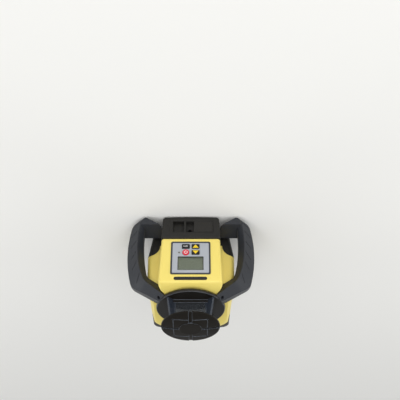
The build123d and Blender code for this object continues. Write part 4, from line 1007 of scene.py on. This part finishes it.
@dataclass
class LampRing:
    """Printed grey ring round the status lamp."""

    palette: Palette
    inner_mm: float = 1.45
    outer_mm: float = 2.1
    ink_mm: float = 0.05
    sunk_mm: float = 0.1
    steps: int = 32

    def build(self) -> None:
        """Make the ring on the overlay."""
        low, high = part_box("status_led")
        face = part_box("panel_overlay")[0].y
        outline = circle(((low.x + high.x) / 2, (low.z + high.z) / 2), self.outer_mm * MM, self.steps)
        width = (self.outer_mm - self.inner_mm) * MM
        mesh = frame_shape(outline, width, face - self.ink_mm * MM, face + self.sunk_mm * MM)
        finished_piece("status_led_ring", mesh, "body", "overlay", self.palette, "ink_grey")


@dataclass
class CellEnds:
    """Steel ends of the four battery cells: a raised button at one end, a flat cap at the other."""

    palette: Palette
    cell_mm: float = 18.0
    button_mm: float = 5.6
    button_height_mm: float = 1.1
    cap_mm: float = 15.6
    cap_height_mm: float = 0.3
    sunk_mm: float = 0.4
    edge_mm: float = 0.15
    steps: int = 32

    def build(self) -> None:
        """Make all the ends as one piece, with every second row turned round."""
        low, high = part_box("battery_cells")
        half = self.cell_mm / 2 * MM
        shapes = []
        for y in (low.y + half, high.y - half):
            for z, way in ((low.z + half, 1), (high.z - half, -1)):
                button_x, cap_x = (high.x, low.x) if way > 0 else (low.x, high.x)
                shapes.append(self.end(Vector((button_x, y, z)), way, self.button_mm, self.button_height_mm))
                shapes.append(self.end(Vector((cap_x, y, z)), -way, self.cap_mm, self.cap_height_mm))
        finished_piece("battery_cells_ends", joined(shapes), "battery", "steel", self.palette)

    def end(self, place: Vector, way: int, width_mm: float, height_mm: float) -> bmesh.types.BMesh:
        """One round end that stands out along X.

        Args:
            place: middle of the cell's end.
            way: 1 where it points along +X, -1 along -X.
            width_mm: its diameter.
            height_mm: how far it stands out.

        Returns:
            The end's mesh.
        """
        depth = (height_mm + self.sunk_mm) * MM
        middle = place + Vector((way * (height_mm - self.sunk_mm) / 2 * MM, 0, 0))
        mesh = cylinder(width_mm * MM, depth, middle, "X", self.steps)
        rim = [edge for edge in mesh.edges if all((v.co.x - middle.x) * way > depth / 4 for v in edge.verts)]
        bevel_edges(mesh, rim, self.edge_mm * MM)
        return mesh


@dataclass
class BoardParts:
    """Chips, capacitors and a connector on the front of the main board."""

    palette: Palette
    # Middle x and z, then width, height and depth of each chip, in millimetres
    chips: tuple[tuple[float, float, float, float, float], ...] = (
        (-12.0, 96.0, 14.0, 14.0, 1.4),
        (12.0, 104.0, 10.0, 10.0, 1.2),
        (14.0, 86.0, 8.0, 5.0, 1.5),
        (-14.0, 76.0, 10.0, 6.0, 1.5),
    )
    connector: tuple[float, float, float, float, float] = (10.0, 70.0, 22.0, 5.0, 5.0)
    # Middle x and z of each capacitor, in millimetres
    capacitors: tuple[Point, ...] = ((-30.0, 78.0), (-30.0, 90.0))
    capacitor_mm: float = 8.0
    capacitor_length_mm: float = 9.0
    capacitor_edge_mm: float = 0.5
    capacitor_segments: int = 3
    sunk_mm: float = 0.2
    edge_mm: float = 0.25
    steps: int = 32

    def build(self) -> None:
        """Make the chips with the connector, and the capacitors."""
        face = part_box("main_board")[0].y
        chips = [self.chip(face, *sizes) for sizes in (*self.chips, self.connector)]
        finished_piece("main_board_chips", joined(chips), "body", "case", self.palette)
        cans = [self.can(face, x, z) for x, z in self.capacitors]
        finished_piece("main_board_capacitors", joined(cans), "body", "alloy", self.palette)

    def chip(
        self, face: float, x: float, z: float, width: float, height: float, depth: float
    ) -> bmesh.types.BMesh:
        """Plain moulded block on the board.

        Args:
            face: Y of the board's front.
            x: its middle across.
            z: its middle upwards.
            width: size across.
            height: size upwards.
            depth: how far it stands out; all in millimetres but face.

        Returns:
            The block's mesh.
        """
        mesh = bmesh.new()
        bmesh.ops.create_cube(
            mesh,
            size=MM,
            matrix=Matrix.Translation((x * MM, face - (depth - self.sunk_mm) / 2 * MM, z * MM))
            @ Matrix.Diagonal((width, depth + self.sunk_mm, height, 1)),
        )
        bevel_edges(mesh, mesh.edges[:], self.edge_mm * MM)
        return mesh

    def can(self, face: float, x: float, z: float) -> bmesh.types.BMesh:
        """Round capacitor that stands out of the board.

        Args:
            face: Y of the board's front.
            x: its middle across, in millimetres.
            z: its middle upwards, in millimetres.

        Returns:
            The capacitor's mesh.
        """
        depth = (self.capacitor_length_mm + self.sunk_mm) * MM
        middle = Vector((x * MM, face + self.sunk_mm * MM - depth / 2, z * MM))
        mesh = cylinder(self.capacitor_mm * MM, depth, middle, "Y", self.steps)
        rims = [edge for edge in mesh.edges if abs(edge.verts[0].co.y - edge.verts[1].co.y) < LEVEL_M]
        bevel_edges(mesh, rims, self.capacitor_edge_mm * MM, self.capacitor_segments)
        return mesh


@dataclass
class BackPads:
    """Ribbed rubber pads on the back, in place of the plain ones."""

    palette: Palette
    length_mm: float = 34.0
    radius_mm: float = 7.0
    rib_mm: float = 2.4
    rib_pitch_mm: float = 4.6
    ribs: int = 7
    groove_mm: float = 0.7
    edge_mm: float = 0.3
    steps: int = 20

    def build(self) -> None:
        """Make the four pads as one piece."""
        low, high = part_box("rear_feet")
        shapes = []
        for x in (low.x + self.radius_mm * MM, high.x - self.radius_mm * MM):
            for z in (low.z + self.length_mm / 2 * MM, high.z - self.length_mm / 2 * MM):
                shapes += self.pad(x, z, low.y, high.y)
        piece = finished_piece("rear_feet_ribbed", joined(shapes), "body", "pad", self.palette)
        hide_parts("rear_feet")

    def pad(self, x: float, z: float, back: float, face: float) -> list[bmesh.types.BMesh]:
        """One pad: an oblong bed and its cross ribs.

        Args:
            x: middle of the pad across.
            z: middle of the pad upwards.
            back: Y where it meets the cover.
            face: Y of the rib tops.

        Returns:
            The meshes of the bed and the ribs.
        """
        bed_face = face - self.groove_mm * MM
        radius, edge = self.radius_mm * MM, self.edge_mm * MM
        run, thick = self.length_mm / 2 * MM - radius, self.rib_mm / 2 * MM
        upper = arc((x, z + run), radius, 0, 180, self.steps)
        lower = arc((x, z - run), radius, 180, 360, self.steps)
        shapes = [flat_shape(upper + lower, bed_face, back)]
        for index in range(self.ribs):
            lift = (index - (self.ribs - 1) / 2) * self.rib_pitch_mm * MM
            past = max(0.0, abs(lift) + thick - run)
            half = math.sqrt(max(radius * radius - past * past, 0.0)) - edge
            outline = block(x - half, z + lift - thick, x + half, z + lift + thick)
            rib = flat_shape(outline, face, bed_face - edge)
            top = [e for e in rib.edges if all(abs(v.co.y - face) < LEVEL_M for v in e.verts)]
            bevel_edges(rib, top, edge)
            shapes.append(rib)
        return shapes


def lathe(profile: list[Point], steps: int) -> bmesh.types.BMesh:
    """Turn a profile round the Z axis.

    Args:
        profile: points as (radius, z) in metres; it may start and end on the axis.
        steps: spans in the full turn.

    Returns:
        The turned mesh.
    """
    mesh = bmesh.new()
    verts = [mesh.verts.new((r, 0, z)) for r, z in profile]
    edges = [mesh.edges.new(pair) for pair in zip(verts, verts[1:])]
    bmesh.ops.spin(
        mesh,
        geom=verts + edges,
        cent=(0, 0, 0),
        axis=(0, 0, 1),
        angle=2 * math.pi,
        steps=steps,
        use_merge=True,
    )
    bmesh.ops.remove_doubles(mesh, verts=mesh.verts, dist=WELD_M)
    return mesh


@dataclass
class TripodThread:
    """Brass insert with its 5/8 inch, 11 threads per inch thread cut as a real helix."""

    palette: Palette
    root_mm: float = 7.9
    crest_mm: float = 6.85
    pitch_mm: float = 25.4 / 11
    crest_flat_mm: float = 0.35
    # The ridge reaches this far into the wall, and its foot takes up this share of the pitch
    sunk_mm: float = 0.1
    foot_share: float = 0.9
    depth_mm: float = 18.0
    mouth_mm: float = 1.2
    edge_mm: float = 0.6
    steps: int = 48

    def build(self) -> None:
        """Make the turned body and the helix."""
        low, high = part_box("tripod_insert")
        outer = high.x
        depth, root = self.depth_mm * MM, self.root_mm * MM
        mouth, edge = self.mouth_mm * MM, self.edge_mm * MM
        profile = [
            (0.0, depth),
            (root, depth),
            (root, low.z + mouth),
            (root + mouth / 2, low.z),
            (outer - edge, low.z),
            (outer, low.z + edge),
            (outer, high.z - edge),
            (outer - edge, high.z),
            (0.0, high.z),
        ]
        body = lathe(profile, self.steps)
        piece = finished_piece("tripod_insert_turned", body, "body", "brass", self.palette)
        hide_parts("tripod_insert")
        finished_piece("tripod_insert_thread", self.helix(low.z + mouth), "body", "brass", self.palette)

    def helix(self, start: float) -> bmesh.types.BMesh:
        """Thread ridge from the mouth to the bottom of the hole.

        Args:
            start: Z of its first turn.

        Returns:
            The ridge's mesh.
        """
        mesh = bmesh.new()
        pitch, flat = self.pitch_mm * MM, self.crest_flat_mm * MM
        root, crest = (self.root_mm + self.sunk_mm) * MM, self.crest_mm * MM
        foot = pitch * self.foot_share
        section = ((root, -foot / 2), (crest, -flat / 2), (crest, flat / 2), (root, foot / 2))
        first = start + pitch / 2
        verts = [mesh.verts.new((r, 0, first + z)) for r, z in section]
        edges = [mesh.edges.new(pair) for pair in zip(verts, verts[1:] + verts[:1])]
        turns = (self.depth_mm * MM - start - pitch) / pitch
        steps = int(turns * self.steps)
        mesh.faces.new(verts)
        done = bmesh.ops.spin(
            mesh,
            geom=verts + edges,
            cent=(0, 0, 0),
            axis=(0, 0, 1),
            dvec=(0, 0, turns * pitch / steps),
            angle=turns * 2 * math.pi,
            steps=steps,
            use_duplicate=False,
        )
        last = [part for part in done["geom_last"] if isinstance(part, bmesh.types.BMVert)]
        mesh.faces.new(last)
        return mesh


@dataclass(frozen=True)
class SoftLamp:
    """Square soft lamp that faces the part."""

    name: str
    place_m: tuple[float, float, float]
    size_m: float
    power_w: float
    aim_m: tuple[float, float, float] = (0.0, 0.0, 0.1)

    def build(self) -> None:
        """Hang the lamp in its place and turn it to the part."""
        light = bpy.data.lights.new(self.name, "AREA")
        light.size = self.size_m
        light.energy = self.power_w
        lamp = bpy.data.objects.new(self.name, light)
        lamp.location = self.place_m
        toward = Vector(self.aim_m) - Vector(self.place_m)
        lamp.rotation_euler = toward.to_track_quat("-Z", "Y").to_euler()
        bpy.context.scene.collection.objects.link(lamp)


@dataclass
class Studio:
    """Pale floor, soft lamps and the camera of the photograph."""

    floor_half_m: float = 6.0
    floor_colour: str = "#F0EFEB"
    floor_roughness: float = 0.9
    # Fibres of the paper floor, drawn coarser than they are so that they show
    fibre_mm: float = 2.0
    fibre_strength: float = 0.05
    fibre_depth_mm: float = 1.0
    sky_colour: str = "#F4F6F8"
    sky_strength: float = 0.42
    lamps: tuple[SoftLamp, ...] = (
        SoftLamp("key_lamp", (-0.3, -1.9, 1.2), 1.6, 12.5),
        SoftLamp("top_lamp", (0.2, -0.7, 2.2), 1.4, 12.0),
        SoftLamp("right_front_lamp", (1.3, -1.7, 0.8), 1.0, 7.0),
        SoftLamp("right_side_lamp", (1.8, -0.2, 0.8), 1.2, 6.0),
        SoftLamp("right_back_lamp", (2.2, 2.0, 1.2), 1.4, 9.0),
        SoftLamp("left_front_lamp", (-1.3, -1.7, 0.8), 1.0, 7.0),
        SoftLamp("left_side_lamp", (-1.8, -0.2, 0.8), 1.2, 6.0),
        SoftLamp("left_back_lamp", (-2.2, 2.0, 1.2), 1.4, 9.0),
    )
    eye_mm: tuple[float, float, float] = (-17.5, -1035.5, 752.7)
    look_down_deg: float = 39.6
    lens_mm: float = 56.0
    sensor_mm: float = 36.0

    def build(self) -> None:
        """Make floor, world, lamps and camera."""
        self.floor()
        self.world()
        for lamp in self.lamps:
            lamp.build()
        self.camera()
        LOG.info("studio with %d lamps", len(self.lamps))

    def floor(self) -> None:
        """Large matt floor at the foot of the part."""
        mesh = bmesh.new()
        bmesh.ops.create_grid(mesh, x_segments=1, y_segments=1, size=self.floor_half_m)
        data = bpy.data.meshes.new("floor")
        mesh.to_mesh(data)
        mesh.free()
        floor = bpy.data.objects.new("floor", data)
        bpy.context.scene.collection.objects.link(floor)
        # White paper, dull, with a hardly visible tooth
        material, tree, place = new_material("paper_white")
        fibre = add_node(tree, "ShaderNodeTexNoise", {"Vector": place, "Scale": per_mm(self.fibre_mm)})
        bump = add_node(
            tree,
            "ShaderNodeBump",
            {
                "Height": fibre.outputs["Fac"],
                "Strength": self.fibre_strength,
                "Distance": self.fibre_depth_mm * MM,
            },
        )
        shader = add_node(
            tree,
            "ShaderNodeBsdfPrincipled",
            {
                "Base Color": linear(self.floor_colour),
                "Roughness": self.floor_roughness,
                "Normal": bump.outputs["Normal"],
            },
        )
        add_node(tree, "ShaderNodeOutputMaterial", {"Surface": shader.outputs[0]})
        data.materials.append(material)

    def world(self) -> None:
        """Even pale surroundings."""
        world = bpy.data.worlds.new("studio")
        bpy.context.scene.world = world
        world.use_nodes = True
        world.node_tree.nodes.clear()
        light = {"Color": linear(self.sky_colour), "Strength": self.sky_strength}
        sky = add_node(world.node_tree, "ShaderNodeBackground", light)
        add_node(world.node_tree, "ShaderNodeOutputWorld", {"Surface": sky.outputs[0]})

    def camera(self) -> None:
        """Camera in front and above, turned half round as in the photograph."""
        data = bpy.data.cameras.new("camera")
        data.lens = self.lens_mm
        data.sensor_width = self.sensor_mm
        camera = bpy.data.objects.new("camera", data)
        down = math.radians(self.look_down_deg)
        forward = Vector((0, math.cos(down), -math.sin(down)))
        up = Vector((0, -math.sin(down), -math.cos(down)))
        turn = Matrix((forward.cross(up), up, -forward)).transposed().to_4x4()
        camera.matrix_world = Matrix.Translation(Vector(self.eye_mm) * MM) @ turn
        bpy.context.scene.collection.objects.link(camera)
        bpy.context.scene.camera = camera


def main() -> None:
    """Load the frame, dress it, add the fine pieces and set up the studio."""
    logging.basicConfig(level=logging.INFO, format="%(message)s")
    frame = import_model()
    bpy.context.scene.view_settings.view_transform = "Standard"
    palette = Palette()
    Solids(frame, palette).build()
    KeyMarks(palette).build()
    DisplayLipShade(palette).build()
    LampRing(palette).build()
    CellEnds(palette).build()
    BoardParts(palette).build()
    BackPads(palette).build()
    TripodThread(palette).build()
    Studio().build()


if __name__ == "__main__":
    main()
